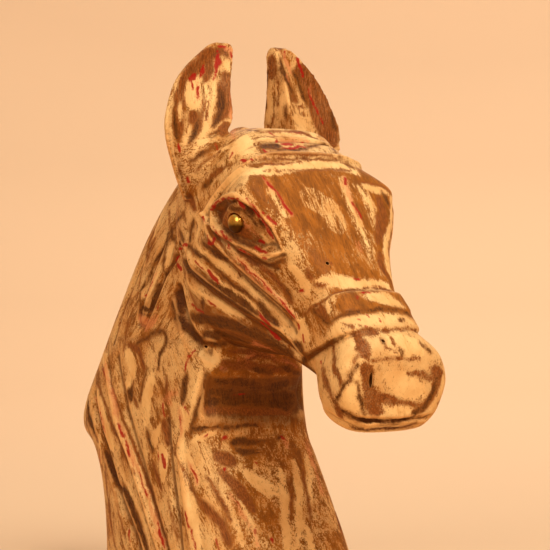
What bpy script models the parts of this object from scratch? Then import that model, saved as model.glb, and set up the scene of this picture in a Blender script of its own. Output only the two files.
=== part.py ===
"""A horse's head and neck carved from one block of wood, cut flat below, with a brass dome tack for each eye.

The horse faces -Y, its left side is at +X, and it stands on z = 0 with the origin under the neck.
The carving's proportions are counted in parts, 352 of which make its height. A place on the neck is
given by how far it is forward of the origin (front) and by its height (up). A place on the head is
given in the head's own frame: along runs down the face from the brow to the lips, and deep runs from
the plane of the face in towards the jaw. Across is the distance from the middle plane, to either side.
"""

import math

import bmesh
import bpy
import numpy as np
from mathutils import Matrix, Vector
from mathutils.bvhtree import BVHTree

# Driving sizes, in metres
HEIGHT = 0.352
PART = HEIGHT / 352
FACE_SLOPE = math.radians(55)
BROW_FRONT = 90 * PART
BROW_UP = 272 * PART
TACK_RADIUS = 0.0061
TACK_DOME = 0.0036
TACK_RIM = 0.0007
SHANK_RADIUS = 0.0010
SHANK_LENGTH = 0.0100
SHANK_POINT = 0.0025
CLEARANCE = 0.0003
SEAT_DEPTH = 0.0010

# How finely the wood is worked, in metres, and how many triangles it keeps
GRID = 0.0020
SMOOTHING = 3
TRIANGLES = 8200
TACK_SEGMENTS = 24
TACK_STEPS = 6
SHARP_EDGE = math.radians(35)

# Each ring of the neck: up, back, front, half widths across the front and the crest, corners of both
NECK = (
    (-6, -104, 84, 61, 48, 5.0, 3.0),
    (28, -104, 73, 59, 46, 5.0, 3.0),
    (64, -113, 56, 54, 42, 5.5, 3.0),
    (88, -130, 44, 51, 38, 6.0, 2.8),
    (100, -146, 38, 49, 36, 6.5, 2.8),
    (116, -146, 35, 47, 34, 7.0, 2.8),
    (146, -128, 34, 45, 32, 7.0, 2.8),
    (181, -106, 38, 42, 30, 5.0, 2.8),
    (228, -74, 46, 36, 27, 4.0, 2.8),
    (262, -44, 40, 30, 22, 3.5, 2.6),
    (284, -16, 32, 24, 16, 3.0, 2.4),
    (293, 2, 28, 16, 10, 3.0, 2.4),
)

# Each ring of the head: along, near the face, near the jaw, half widths at both, corners of both
HEAD = (
    (-55, 38, 78, 26, 28, 3.0, 3.0),
    (-48, 24, 96, 34, 36, 3.0, 3.0),
    (-34, 10, 108, 42, 43, 3.5, 3.0),
    (-16, 3, 116, 47, 46, 4.0, 3.0),
    (-4, 1, 119, 51, 46, 5.0, 3.0),
    (6, 0, 119, 58, 46, 7.0, 3.0),
    (14, 0, 121, 63, 46, 9.0, 3.2),
    (22, 0, 121, 60, 46, 9.0, 3.4),
    (40, 1, 120, 51, 43, 8.0, 3.6),
    (56, 2, 112, 43, 39, 6.0, 3.6),
    (76, 3, 94, 35, 33, 5.0, 3.6),
    (90, 4, 76, 30, 29, 5.0, 3.4),
    (108, 4, 63, 25, 26, 4.5, 3.2),
    (124, 3, 54, 25, 25, 4.0, 3.0),
)

# Each ring of the muzzle, in the same order
MUZZLE = (
    (110, 5, 56, 24, 26, 4.0, 3.0),
    (120, 0, 54, 28, 29, 3.6, 3.0),
    (134, -2, 53, 37, 34, 4.0, 3.2),
    (142, 1, 52, 40, 36, 4.5, 3.2),
    (150, 8, 51, 42, 36, 5.0, 3.2),
    (158, 15, 48, 38, 34, 5.0, 2.8),
    (165, 20, 43, 32, 29, 4.5, 2.6),
    (170, 24, 35, 23, 22, 4.0, 2.4),
)

# Each ring of the noseband's two steps, in the same order. The bands lean back towards the jaw
NOSEBAND = (
    (92.5, 2, 71, 28, 29, 4.5, 3.0),
    (94, 0, 72, 31, 30, 4.5, 3.0),
    (107, -1, 66, 32, 30, 4.5, 3.0),
    (108, 1, 64, 30, 29, 4.5, 3.0),
)
COLLAR = (
    (106, 3, 63, 29, 28, 4.0, 3.0),
    (108, -0.5, 63, 32, 30, 4.0, 3.0),
    (120, -1.5, 58, 32, 31, 4.0, 3.0),
    (122, 0, 56, 30, 30, 4.0, 3.0),
)
BAND_LEAN = 0.26

# Each ring of an ear: up, across to its inner wall, front of that wall's back edge, thickness there,
# width outwards, how far the outer edge is forward, share of the width that the front ridge sweeps out
EAR = (
    (252, 16, 4, 40, 32, 16, 0.74),
    (268, 18, 6, 38, 41, 20, 0.60),
    (284, 20, 8, 34, 48, 23, 0.40),
    (294, 21, 9, 31, 49, 22, 0.18),
    (304, 21, 10, 28, 48, 20, 0.05),
    (323, 20, 14, 20, 41, 13, 0.05),
    (336, 18, 17, 15, 33, 10, 0.05),
    (346, 16, 19, 11, 23, 8, 0.05),
    (350, 16.5, 20, 9, 17, 6.5, 0.05),
    (352, 18, 21, 6, 10, 5, 0.05),
)
EAR_HOLLOW = 0.28
EAR_BULGE = 0.20
EAR_EDGE = 2.0

# The forelock's tuft between the ears: (across, front, up) of its middle, and its radii
TUFT = (-11, 30, 286)
TUFT_RADII = (13, 9, 13)

# Cuts and raised edges on the sides of the head: path of (along, deep), half width, height
HEAD_SIDE_STROKES = (
    (((-6, 0), (-5, 13), (-5, 29), (-5, 44), (-3, 57)), 3.6, 2.4),
    (((-3, 57), (13, 53), (35, 49), (57, 44), (75, 39), (90, 36)), 3.0, 2.0),
    (((4, 52), (16, 49), (34, 43), (48, 36), (60, 26)), 2.6, -1.6),
    (((8, 61), (30, 57), (55, 52), (78, 47), (93, 44)), 4.0, -2.0),
    (((-6, 89), (19, 83), (41, 74), (66, 63), (85, 53), (106, 47)), 3.0, 1.8),
    (((-8, 98), (19, 92), (41, 83), (66, 72), (85, 62), (104, 55)), 4.5, -2.4),
    (((10, 122), (34, 124), (52, 120), (68, 110), (84, 96), (98, 79), (112, 66)), 7.0, -5.0),
    (((142, 43), (152, 40), (162, 35), (172, 30)), 2.6, -2.0),
)

# The same on the sides of the neck: path of (front, up), half width, height
NECK_SIDE_STROKES = (
    (((-96, 150), (-69, 106), (-48, 86), (-25, 59), (-1, 31), (16, 6)), 3.2, 2.4),
    (((-112, 124), (-92, 97), (-57, 56), (-32, 33), (-8, 2)), 6.0, -3.4),
    (((-78, 150), (-58, 116), (-32, 84), (-10, 54), (14, 24)), 5.0, -1.8),
    (((-30, 224), (-41, 205), (-50, 185), (-52, 173), (-44, 171), (-34, 186), (-24, 203)), 3.4, -2.4),
    (((-14, 236), (-18, 218), (-22, 205), (-12, 214), (-3, 226)), 2.6, -1.8),
    (((-52, 222), (-66, 202), (-78, 184), (-88, 160)), 4.0, -1.8),
    (((12, 98), (24, 66), (38, 32), (48, 6)), 5.0, 1.8),
    (((-6, 112), (4, 84), (17, 52), (28, 22)), 5.0, -2.2),
)

# The same across the face and the poll: path of (across, along), half width, height
FACE_STROKES = (
    (((-54, -5), (-30, -9), (0, -10), (30, -9), (54, -5)), 3.4, 2.0),
    (((-50, -20), (-25, -23), (0, -24), (25, -23), (50, -20)), 3.0, -1.8),
    (((-40, -31), (-20, -34), (0, -35), (20, -34), (40, -31)), 6.0, 1.6),
)

# The same on the front of the muzzle, and on the front of the neck under the chin: path of (across, up)
LIP_STROKES = (
    (((-34, 121), (-22, 120), (0, 119), (22, 120), (34, 121)), 2.8, -2.4),
)
THROAT_STROKES = (
    (((-40, 128), (-20, 127), (20, 127), (40, 128)), 15.0, -4.0),
)
AHEAD_OF_NECK = 90

# The corners of the lids of an eye, (along, deep), and how they are cut
UPPER_LID = ((-1, 47), (5, 28), (15, 14), (28, 8), (42, 9), (55, 14))
LOWER_LID = ((47, 28), (32, 37), (15, 46))
LID_WIDTH = 3.2
LID_HEIGHT = 1.4
SOCKET_DEPTH = 5.0
EYEBALL_RADIUS = 18
EYEBALL_HEIGHT = 3.4

# The tack's place on the head, and the way its axis points
EYE_ALONG = 24 * PART
EYE_DEEP = 28.5 * PART
EYE_TURN_FORWARD = math.radians(4)
EYE_TURN_DOWN = math.radians(4)


def clear_scene():
    for obj in list(bpy.data.objects):
        bpy.data.objects.remove(obj, do_unlink=True)


def material(name, color, roughness, metallic=0.0):
    made = bpy.data.materials.new(name)
    made.use_nodes = True
    shader = made.node_tree.nodes["Principled BSDF"]
    shader.inputs["Base Color"].default_value = (*color, 1.0)
    shader.inputs["Roughness"].default_value = roughness
    shader.inputs["Metallic"].default_value = metallic
    return made


def head_to_world(across, along, deep):
    front = BROW_FRONT + along * math.cos(FACE_SLOPE) - deep * math.sin(FACE_SLOPE)
    up = BROW_UP - along * math.sin(FACE_SLOPE) - deep * math.cos(FACE_SLOPE)
    return Vector((across, -front, up))


def rounded_section(half_depth, wide_near, wide_far, corner_near, corner_far, points=56):
    """(across, depth) round a rounded trapezium. A corner of 2 gives an ellipse, and more is squarer."""
    section = []
    for i in range(points):
        turn = 2 * math.pi * (i + 0.5) / points
        bulge = 2 / (corner_near if math.sin(turn) > 0 else corner_far)
        side = math.copysign(abs(math.cos(turn)) ** bulge, math.cos(turn))
        depth = math.copysign(abs(math.sin(turn)) ** bulge, math.sin(turn))
        half_width = wide_far + (wide_near - wide_far) * (depth + 1) / 2
        section.append((side * half_width, depth * half_depth))
    return section


def add_loft(shell, rings):
    """Adds a closed skin over the rings, which all have as many points."""
    rows = [[shell.verts.new(point) for point in ring] for ring in rings]
    faces = []
    for row, following in zip(rows, rows[1:]):
        for i, vert in enumerate(row):
            j = (i + 1) % len(row)
            faces.append(shell.faces.new((vert, row[j], following[j], following[i])))
    faces.append(shell.faces.new(list(reversed(rows[0]))))
    faces.append(shell.faces.new(rows[-1]))
    bmesh.ops.triangulate(shell, faces=faces[-2:])


def add_neck(shell):
    rings = []
    for up, back, front, wide_front, wide_crest, corner_front, corner_crest in NECK:
        middle = (front + back) / 2
        section = rounded_section((front - back) / 2, wide_front, wide_crest, corner_front, corner_crest)
        rings.append([Vector((a, -(middle + d), up)) * PART for a, d in section])
    add_loft(shell, rings)


def add_head(shell, stations, lean=0.0):
    """A lean moves each ring's jaw side back up the head by that share of its depth."""
    rings = []
    for along, face, jaw, wide_face, wide_jaw, corner_face, corner_jaw in stations:
        middle = (face + jaw) / 2
        section = rounded_section((jaw - face) / 2, wide_face, wide_jaw, corner_face, corner_jaw)
        ring = []
        for across, outward in section:
            deep = middle - outward
            ring.append(head_to_world(across * PART, (along - lean * deep) * PART, deep * PART))
        rings.append(ring)
    add_loft(shell, rings)


def ear_section(thick, width, edge_front, sweep):
    """(outward, forward) round one level of an ear: a flat inner wall, a hollow front, a bulging back."""
    root = Vector((0.0, 0.0))
    ridge = Vector((sweep * width, thick))
    edge = Vector((width, edge_front))
    section = [root, root.lerp(ridge, 0.5), ridge]
    for i in range(1, 8):
        share = i / 8
        scoop = EAR_HOLLOW * thick * math.sin(math.pi * share)
        section.append(ridge.lerp(edge, share) - Vector((0.0, scoop)))
    section.append(edge + Vector((0.0, EAR_EDGE)))
    section.append(edge - Vector((0.0, EAR_EDGE)))
    for i in range(1, 8):
        share = i / 8
        bulge = EAR_BULGE * width * math.sin(math.pi * share)
        section.append(edge.lerp(root, share) - Vector((0.0, bulge + EAR_EDGE * (1 - share))))
    return section


def add_ear(shell, side):
    rings = []
    for up, inner, back, thick, width, edge_front, sweep in EAR:
        section = ear_section(thick, width, edge_front, sweep)
        rings.append([Vector((side * (inner + o), -(back + f), up)) * PART for o, f in section])
    add_loft(shell, rings)


def add_tuft(shell):
    ball = bmesh.ops.create_icosphere(shell, subdivisions=3, radius=1.0)
    across, front, up = TUFT
    for vert in ball["verts"]:
        x, y, z = (value * radius for value, radius in zip(vert.co, TUFT_RADII))
        vert.co = Vector((across + x, y - front, up + z)) * PART


def rough_block():
    """The whole form as overlapping closed skins, made one skin by the Remesh modifier."""
    mesh = bpy.data.meshes.new("horse_head")
    shell = bmesh.new()
    add_neck(shell)
    add_head(shell, HEAD)
    add_head(shell, MUZZLE)
    add_head(shell, NOSEBAND, BAND_LEAN)
    add_head(shell, COLLAR, BAND_LEAN)
    for side in (-1, 1):
        add_ear(shell, side)
    add_tuft(shell)
    bmesh.ops.recalc_face_normals(shell, faces=shell.faces[:])
    shell.to_mesh(mesh)
    shell.free()
    block = bpy.data.objects.new("horse_head", mesh)
    bpy.context.collection.objects.link(block)
    remesh = block.modifiers.new("one_skin", "REMESH")
    remesh.mode = "VOXEL"
    remesh.voxel_size = GRID
    smooth = block.modifiers.new("no_steps", "SMOOTH")
    smooth.factor = 0.5
    smooth.iterations = SMOOTHING
    return block


def from_path(points, path, closed=False):
    """Each point's distance from a path in the same plane."""
    corners = np.array(path + path[:1] if closed else path, float)
    nearest = np.full(len(points), np.inf)
    for start, end in zip(corners, corners[1:]):
        step = end - start
        share = np.clip((points - start) @ step / (step @ step), 0.0, 1.0)
        gap = points - start - share[:, None] * step
        nearest = np.minimum(nearest, np.hypot(gap[:, 0], gap[:, 1]))
    return nearest


def inside_path(points, path):
    """Whether each point lies inside a closed path."""
    inside = np.zeros(len(points), bool)
    for (x1, y1), (x2, y2) in zip(path, path[1:] + path[:1]):
        crosses = (y1 > points[:, 1]) != (y2 > points[:, 1])
        rise = (y2 - y1) or 1.0
        inside ^= crosses & (points[:, 0] < x1 + (points[:, 1] - y1) * (x2 - x1) / rise)
    return inside


def stroke_height(points, strokes):
    """How far a set of strokes raises each point: a rounded ridge, or a groove where it is below zero."""
    height = np.zeros(len(points))
    for path, half_width, rise in strokes:
        share = np.clip(from_path(points, path) / half_width, 0.0, 1.0)
        height += rise * (1.0 - share**2) ** 2
    return height


def eye_height(points):
    """A raised rim round the lids, a sunk socket inside them and the swell of the eyeball in it."""
    lids = UPPER_LID + LOWER_LID
    gap = from_path(points, lids, closed=True)
    inside = inside_path(points, lids)
    rim = LID_HEIGHT * np.clip(1.0 - gap / LID_WIDTH, 0.0, 1.0)
    sunk = SOCKET_DEPTH * np.clip(gap / LID_WIDTH, 0.0, 1.0)
    middle = np.array([EYE_ALONG, EYE_DEEP]) / PART
    away = np.clip(np.hypot(*(points - middle).T) / EYEBALL_RADIUS, 0.0, 1.0)
    ball = EYEBALL_HEIGHT * (1.0 - away**2)
    return np.where(inside, rim * 0.4 - sunk + np.minimum(ball, sunk), rim)


def carve(obj):
    """Moves the skin in and out along its own normals by the strokes that face each way."""
    mesh = obj.data
    count = len(mesh.vertices)
    flat = np.empty(count * 3)
    mesh.vertices.foreach_get("co", flat)
    place = flat.reshape(-1, 3) / PART
    mesh.vertices.foreach_get("normal", flat)
    normal = flat.reshape(-1, 3).copy()
    across, front, up = place[:, 0], -place[:, 1], place[:, 2]
    ahead = front - BROW_FRONT / PART
    above = up - BROW_UP / PART
    along = ahead * math.cos(FACE_SLOPE) - above * math.sin(FACE_SLOPE)
    deep = -ahead * math.sin(FACE_SLOPE) - above * math.cos(FACE_SLOPE)
    on_head = np.stack([along, deep], 1)

    sideways = np.clip((np.abs(normal[:, 0]) - 0.25) / 0.35, 0.0, 1.0)
    faceward = -normal[:, 1] * math.sin(FACE_SLOPE) + normal[:, 2] * math.cos(FACE_SLOPE)
    faceward = np.clip((faceward - 0.45) / 0.3, 0.0, 1.0)
    forward = np.clip((-normal[:, 1] - 0.5) / 0.3, 0.0, 1.0)
    below_ears = np.clip((285 - up) / 12, 0.0, 1.0)

    rise = sideways * below_ears * stroke_height(on_head, HEAD_SIDE_STROKES)
    rise += sideways * below_ears * eye_height(on_head)
    rise += sideways * stroke_height(np.stack([front, up], 1), NECK_SIDE_STROKES)
    rise += faceward * (deep < 40) * stroke_height(np.stack([across, along], 1), FACE_STROKES)
    on_front = np.stack([across, up], 1)
    rise += forward * (front > AHEAD_OF_NECK) * stroke_height(on_front, LIP_STROKES)
    rise += forward * (front < AHEAD_OF_NECK) * stroke_height(on_front, THROAT_STROKES)
    place = (place + normal * rise[:, None]) * PART
    mesh.vertices.foreach_set("co", place.ravel())
    mesh.update()


def apply_modifiers(obj):
    bpy.context.view_layer.update()
    graph = bpy.context.evaluated_depsgraph_get()
    mesh = bpy.data.meshes.new_from_object(obj.evaluated_get(graph))
    obj.modifiers.clear()
    obj.data = mesh


def thin_out(obj):
    """Reduces the mesh to the number of triangles that the form needs."""
    obj.data.calc_loop_triangles()
    decimate = obj.modifiers.new("fewer_faces", "DECIMATE")
    decimate.ratio = min(1.0, TRIANGLES / len(obj.data.loop_triangles))
    apply_modifiers(obj)


def cut_flat_below(obj):
    """Saws the neck off level at z = 0."""
    shell = bmesh.new()
    shell.from_mesh(obj.data)
    everything = shell.verts[:] + shell.edges[:] + shell.faces[:]
    cut = bmesh.ops.bisect_plane(
        shell, geom=everything, plane_co=(0, 0, 0), plane_no=(0, 0, -1), clear_outer=True
    )
    edges = [item for item in cut["geom_cut"] if isinstance(item, bmesh.types.BMEdge)]
    bmesh.ops.contextual_create(shell, geom=edges)
    bmesh.ops.recalc_face_normals(shell, faces=shell.faces[:])
    shell.to_mesh(obj.data)
    shell.free()


def turned(name, profile):
    """A body turned about Z from a profile of (radius, height) that starts and ends on the axis."""
    shell = bmesh.new()
    angles = [2 * math.pi * i / TACK_SEGMENTS for i in range(TACK_SEGMENTS)]
    rings = [
        [shell.verts.new((radius * math.cos(a), radius * math.sin(a), height)) for a in angles]
        for radius, height in profile[1:-1]
    ]
    for ring, following in zip(rings, rings[1:]):
        for i, vert in enumerate(ring):
            j = (i + 1) % TACK_SEGMENTS
            shell.faces.new((vert, ring[j], following[j], following[i]))
    for ring, end in ((rings[0], profile[0]), (rings[-1], profile[-1])):
        tip = shell.verts.new((0.0, 0.0, end[1]))
        for i, vert in enumerate(ring):
            shell.faces.new((vert, ring[(i + 1) % TACK_SEGMENTS], tip))
    bmesh.ops.recalc_face_normals(shell, faces=shell.faces[:])
    mesh = bpy.data.meshes.new(name)
    shell.to_mesh(mesh)
    shell.free()
    return mesh


def seat_frame(head, side):
    """Stands on the floor of a tack's seat, with Z pointing out of the eye."""
    axis = Vector((
        side * math.cos(EYE_TURN_FORWARD) * math.cos(EYE_TURN_DOWN),
        -math.sin(EYE_TURN_FORWARD) * math.cos(EYE_TURN_DOWN),
        -math.sin(EYE_TURN_DOWN),
    ))
    graph = bpy.context.evaluated_depsgraph_get()
    surface = BVHTree.FromObject(head, graph)
    outside = head_to_world(side * HEIGHT, EYE_ALONG, EYE_DEEP)
    place = surface.ray_cast(outside, Vector((-side, 0.0, 0.0)))[0]
    turn = axis.to_track_quat("Z", "Y").to_matrix().to_4x4()
    return Matrix.Translation(place - axis * SEAT_DEPTH) @ turn


def seat_cutter():
    """What is bored out of the wood for a tack: the shank's hole and the flat seat under the dome."""
    bore = SHANK_RADIUS + CLEARANCE
    seat = TACK_RADIUS + CLEARANCE
    outside = TACK_DOME + TACK_RIM + SEAT_DEPTH
    return turned("eye_seat", (
        (0.0, -SHANK_LENGTH),
        (bore, -SHANK_LENGTH),
        (bore, 0.0),
        (seat, 0.0),
        (seat, outside),
        (0.0, outside),
    ))


def cut_seat(head, cutter_mesh, frame):
    cutter = bpy.data.objects.new("eye_seat", cutter_mesh)
    bpy.context.collection.objects.link(cutter)
    cutter.matrix_world = frame
    cutter.hide_render = True
    cutter.display_type = "WIRE"
    cut = head.modifiers.new("eye_seat", "BOOLEAN")
    cut.operation = "DIFFERENCE"
    cut.solver = "EXACT"
    cut.object = cutter
    apply_modifiers(head)
    bpy.data.objects.remove(cutter, do_unlink=True)


def tack():
    """A dome with a rim and a pointed shank, as one solid that stands on the seat's floor."""
    tip = CLEARANCE * 2 - SHANK_LENGTH
    profile = [
        (0.0, tip),
        (SHANK_RADIUS * 0.3, tip),
        (SHANK_RADIUS, tip + SHANK_POINT),
        (SHANK_RADIUS, CLEARANCE),
        (TACK_RADIUS, CLEARANCE),
    ]
    rim = CLEARANCE + TACK_RIM
    for i in range(TACK_STEPS):
        turn = 0.5 * math.pi * i / TACK_STEPS
        profile.append((TACK_RADIUS * math.cos(turn), rim + TACK_DOME * math.sin(turn)))
    profile.append((0.0, rim + TACK_DOME))
    return turned("eye_tack", profile)


def shade(mesh, angle):
    mesh.shade_smooth()
    mesh.set_sharp_from_angle(angle=angle)


def main():
    clear_scene()
    head = rough_block()
    apply_modifiers(head)
    carve(head)
    thin_out(head)
    cut_flat_below(head)

    tack_mesh = tack()
    tack_mesh.materials.append(material("brass", (0.72, 0.52, 0.20), 0.3, 1.0))
    shade(tack_mesh, SHARP_EDGE)
    cutter_mesh = seat_cutter()
    frames = {"left": seat_frame(head, 1), "right": seat_frame(head, -1)}
    for hand, frame in frames.items():
        cut_seat(head, cutter_mesh, frame)
        eye = bpy.data.objects.new("eye_tack_" + hand, tack_mesh)
        bpy.context.collection.objects.link(eye)
        eye.matrix_world = frame

    head.data.materials.clear()
    head.data.materials.append(material("painted_wood", (0.62, 0.45, 0.26), 0.55))
    shade(head.data, SHARP_EDGE)


main()
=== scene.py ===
import math

import bmesh
import bpy
import numpy as np
from mathutils import Matrix, Vector, noise
from mathutils.bvhtree import BVHTree


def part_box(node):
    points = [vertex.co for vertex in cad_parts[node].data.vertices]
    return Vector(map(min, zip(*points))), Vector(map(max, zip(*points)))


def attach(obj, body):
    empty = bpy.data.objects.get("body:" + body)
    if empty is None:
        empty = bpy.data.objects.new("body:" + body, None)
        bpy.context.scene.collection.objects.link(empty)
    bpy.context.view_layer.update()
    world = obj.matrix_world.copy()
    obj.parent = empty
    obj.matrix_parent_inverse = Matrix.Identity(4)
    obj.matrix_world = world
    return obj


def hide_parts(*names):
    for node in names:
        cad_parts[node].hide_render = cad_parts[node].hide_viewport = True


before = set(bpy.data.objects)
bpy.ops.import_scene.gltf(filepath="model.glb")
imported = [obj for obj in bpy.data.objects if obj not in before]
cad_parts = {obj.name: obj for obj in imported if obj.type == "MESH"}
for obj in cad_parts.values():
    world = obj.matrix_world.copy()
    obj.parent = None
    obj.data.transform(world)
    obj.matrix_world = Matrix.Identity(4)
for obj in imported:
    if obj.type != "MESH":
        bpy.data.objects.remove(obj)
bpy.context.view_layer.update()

# ---------------------------------------------------------------------------------------------
# Carved head and neck
# One block of wood, roughed out with a saw and a broad gouge, then cut with a V tool and small
# gouges. It was painted cream over red, rubbed back and stained brown, which stays in the cuts.
# ---------------------------------------------------------------------------------------------

# Sizes are in millimetres, as the carver would mark them on the block, and MM makes metres of them.
# The head has a frame of its own: along the face from the brow, and deep from the face to the jaw.
MM = 0.001
FACE_SLOPE = math.radians(55)
BROW_FRONT = 90.0
BROW_UP = 272.0
BAND_LEAN = 0.26

# Each ring of the neck: up, back, front, half widths across the front and the crest, corners of both
NECK = (
    (-6, -104, 84, 61, 48, 5.0, 3.0),
    (28, -104, 73, 59, 46, 5.0, 3.0),
    (64, -113, 56, 54, 42, 5.5, 3.0),
    (88, -130, 44, 51, 38, 6.0, 2.8),
    (100, -146, 38, 49, 36, 6.5, 2.8),
    (116, -146, 35, 47, 34, 7.0, 2.8),
    (146, -128, 34, 45, 32, 7.0, 2.8),
    (181, -106, 38, 42, 30, 5.0, 2.8),
    (228, -74, 46, 36, 27, 4.0, 2.8),
    (262, -44, 40, 30, 22, 3.5, 2.6),
    (284, -16, 32, 24, 16, 3.0, 2.4),
    (293, 2, 28, 16, 10, 3.0, 2.4),
)

# Each ring of the head: along, near the face, near the jaw, half widths at both, corners of both
HEAD = (
    (-55, 38, 78, 26, 28, 3.0, 3.0),
    (-48, 24, 96, 34, 36, 3.0, 3.0),
    (-34, 10, 108, 42, 43, 3.5, 3.0),
    (-16, 3, 116, 47, 46, 4.0, 3.0),
    (-4, 1, 119, 51, 46, 5.0, 3.0),
    (6, 0, 119, 58, 46, 7.0, 3.0),
    (14, 0, 121, 63, 46, 9.0, 3.2),
    (22, 0, 121, 60, 46, 9.0, 3.4),
    (40, 1, 120, 51, 43, 8.0, 3.6),
    (56, 2, 112, 43, 39, 6.0, 3.6),
    (76, 3, 94, 35, 33, 5.0, 3.6),
    (90, 4, 76, 30, 29, 5.0, 3.4),
    (108, 4, 63, 25, 26, 4.5, 3.2),
    (124, 3, 54, 25, 25, 4.0, 3.0),
)

# Each ring of the muzzle, and of the noseband and the collar below it, in the same order
MUZZLE = (
    (110, 5, 56, 24, 26, 4.0, 3.0),
    (120, 0, 54, 28, 29, 3.6, 3.0),
    (134, -2, 53, 37, 34, 4.0, 3.2),
    (142, 1, 52, 40, 36, 4.5, 3.2),
    (150, 8, 51, 42, 36, 5.0, 3.2),
    (158, 15, 48, 38, 34, 5.0, 2.8),
    (165, 20, 43, 32, 29, 4.5, 2.6),
    (170, 24, 35, 23, 22, 4.0, 2.4),
)
NOSEBAND = (
    (92.5, 2, 71, 28, 29, 4.5, 3.0),
    (94, 0, 72, 31, 30, 4.5, 3.0),
    (107, -1, 66, 32, 30, 4.5, 3.0),
    (108, 1, 64, 30, 29, 4.5, 3.0),
)
COLLAR = (
    (106, 3, 63, 29, 28, 4.0, 3.0),
    (108, -0.5, 63, 32, 30, 4.0, 3.0),
    (120, -1.5, 58, 32, 31, 4.0, 3.0),
    (122, 0, 56, 30, 30, 4.0, 3.0),
)

# Each ring of an ear: up, across to its inner wall, front of that wall's back edge, thickness there,
# width outwards, how far the outer edge is forward, share of the width that the front ridge sweeps out
EAR = (
    (252, 16, 4, 40, 32, 16, 0.74),
    (268, 18, 6, 38, 41, 20, 0.60),
    (284, 20, 8, 34, 48, 23, 0.40),
    (294, 21, 9, 31, 49, 22, 0.18),
    (304, 21, 10, 28, 48, 20, 0.05),
    (323, 20, 14, 20, 41, 13, 0.05),
    (336, 18, 17, 15, 33, 10, 0.05),
    (346, 16, 19, 11, 23, 8, 0.05),
    (350, 16.5, 20, 9, 17, 6.5, 0.05),
    (352, 18, 21, 6, 10, 5, 0.05),
)
EAR_HOLLOW = 0.28
EAR_BULGE = 0.20
EAR_EDGE = 3.0

# The forelock's tuft between the ears: (across, front, up) of its middle, and its radii
TUFT = (-11, 30, 286)
TUFT_RADII = (13, 9, 13)


def head_to_world(across, along, deep):
    front = BROW_FRONT + along * math.cos(FACE_SLOPE) - deep * math.sin(FACE_SLOPE)
    up = BROW_UP - along * math.sin(FACE_SLOPE) - deep * math.cos(FACE_SLOPE)
    return Vector((across, -front, up)) * MM


def rounded_section(half_depth, wide_near, wide_far, corner_near, corner_far, points=120):
    """(across, depth) round a rounded trapezium. A corner of 2 gives an ellipse, and more is squarer."""
    section = []
    for i in range(points):
        turn = 2 * math.pi * (i + 0.5) / points
        bulge = 2 / (corner_near if math.sin(turn) > 0 else corner_far)
        side = math.copysign(abs(math.cos(turn)) ** bulge, math.cos(turn))
        depth = math.copysign(abs(math.sin(turn)) ** bulge, math.sin(turn))
        half_width = wide_far + (wide_near - wide_far) * (depth + 1) / 2
        section.append((side * half_width, depth * half_depth))
    return section


def on_curve(a, b, c, d, t):
    """A place between b and c, at the share t of the way, on a smooth curve that passes a to d."""
    return 0.5 * (2 * b + (c - a) * t + (2 * a - 5 * b + 4 * c - d) * t**2 + (3 * b - a - 3 * c + d) * t**3)


def eased(rings, steps):
    """More rings between those given, on a smooth curve through them."""
    rows = np.array(rings, float)
    ends = np.vstack([2 * rows[0] - rows[1], rows, 2 * rows[-1] - rows[-2]])
    out = []
    for i in range(1, len(ends) - 2):
        out += [on_curve(*ends[i - 1:i + 3], k / steps) for k in range(steps)]
    out.append(rows[-1])
    return out


def add_loft(shell, rings):
    """Adds a closed skin over the rings, which all have as many points."""
    rows = [[shell.verts.new(point) for point in ring] for ring in rings]
    faces = []
    for row, following in zip(rows, rows[1:]):
        for i, vert in enumerate(row):
            j = (i + 1) % len(row)
            faces.append(shell.faces.new((vert, row[j], following[j], following[i])))
    faces.append(shell.faces.new(list(reversed(rows[0]))))
    faces.append(shell.faces.new(rows[-1]))
    bmesh.ops.triangulate(shell, faces=faces[-2:])


def add_neck(shell):
    rings = []
    for up, back, front, wide_front, wide_crest, corner_front, corner_crest in eased(NECK, 5):
        middle = (front + back) / 2
        section = rounded_section((front - back) / 2, wide_front, wide_crest, corner_front, corner_crest)
        rings.append([Vector((a, -(middle + d), up)) * MM for a, d in section])
    add_loft(shell, rings)


def add_head(shell, stations, lean=0.0):
    """A lean moves each ring's jaw side back up the head by that share of its depth."""
    rings = []
    for along, face, jaw, wide_face, wide_jaw, corner_face, corner_jaw in stations:
        middle = (face + jaw) / 2
        section = rounded_section((jaw - face) / 2, wide_face, wide_jaw, corner_face, corner_jaw)
        ring = []
        for across, outward in section:
            deep = middle - outward
            ring.append(head_to_world(across, along - lean * deep, deep))
        rings.append(ring)
    add_loft(shell, rings)


def ear_section(thick, width, edge_front, sweep, steps=24):
    """(outward, forward) round one level of an ear: a flat inner wall, a hollow front, a bulging back."""
    root = Vector((0.0, 0.0))
    ridge = Vector((sweep * width, thick))
    edge = Vector((width, edge_front))
    section = [root, root.lerp(ridge, 0.5), ridge]
    for i in range(1, steps):
        share = i / steps
        scoop = EAR_HOLLOW * thick * math.sin(math.pi * share)
        section.append(ridge.lerp(edge, share) - Vector((0.0, scoop)))
    section += [edge, edge - Vector((0.0, EAR_EDGE))]
    for i in range(1, steps):
        share = i / steps
        bulge = EAR_BULGE * width * math.sin(math.pi * share)
        section.append(edge.lerp(root, share) - Vector((0.0, bulge + EAR_EDGE * (1 - share))))
    return section


def add_ear(shell, side):
    rings = []
    for up, inner, back, thick, width, edge_front, sweep in eased(EAR, 4):
        section = ear_section(thick, width, edge_front, sweep)
        rings.append([Vector((side * (inner + o), -(back + f), up)) * MM for o, f in section])
    add_loft(shell, rings)


def add_tuft(shell):
    ball = bmesh.ops.create_icosphere(shell, subdivisions=4, radius=1.0)
    across, front, up = TUFT
    for vert in ball["verts"]:
        x, y, z = (value * radius for value, radius in zip(vert.co, TUFT_RADII))
        vert.co = Vector((across + x, y - front, up + z)) * MM


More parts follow.
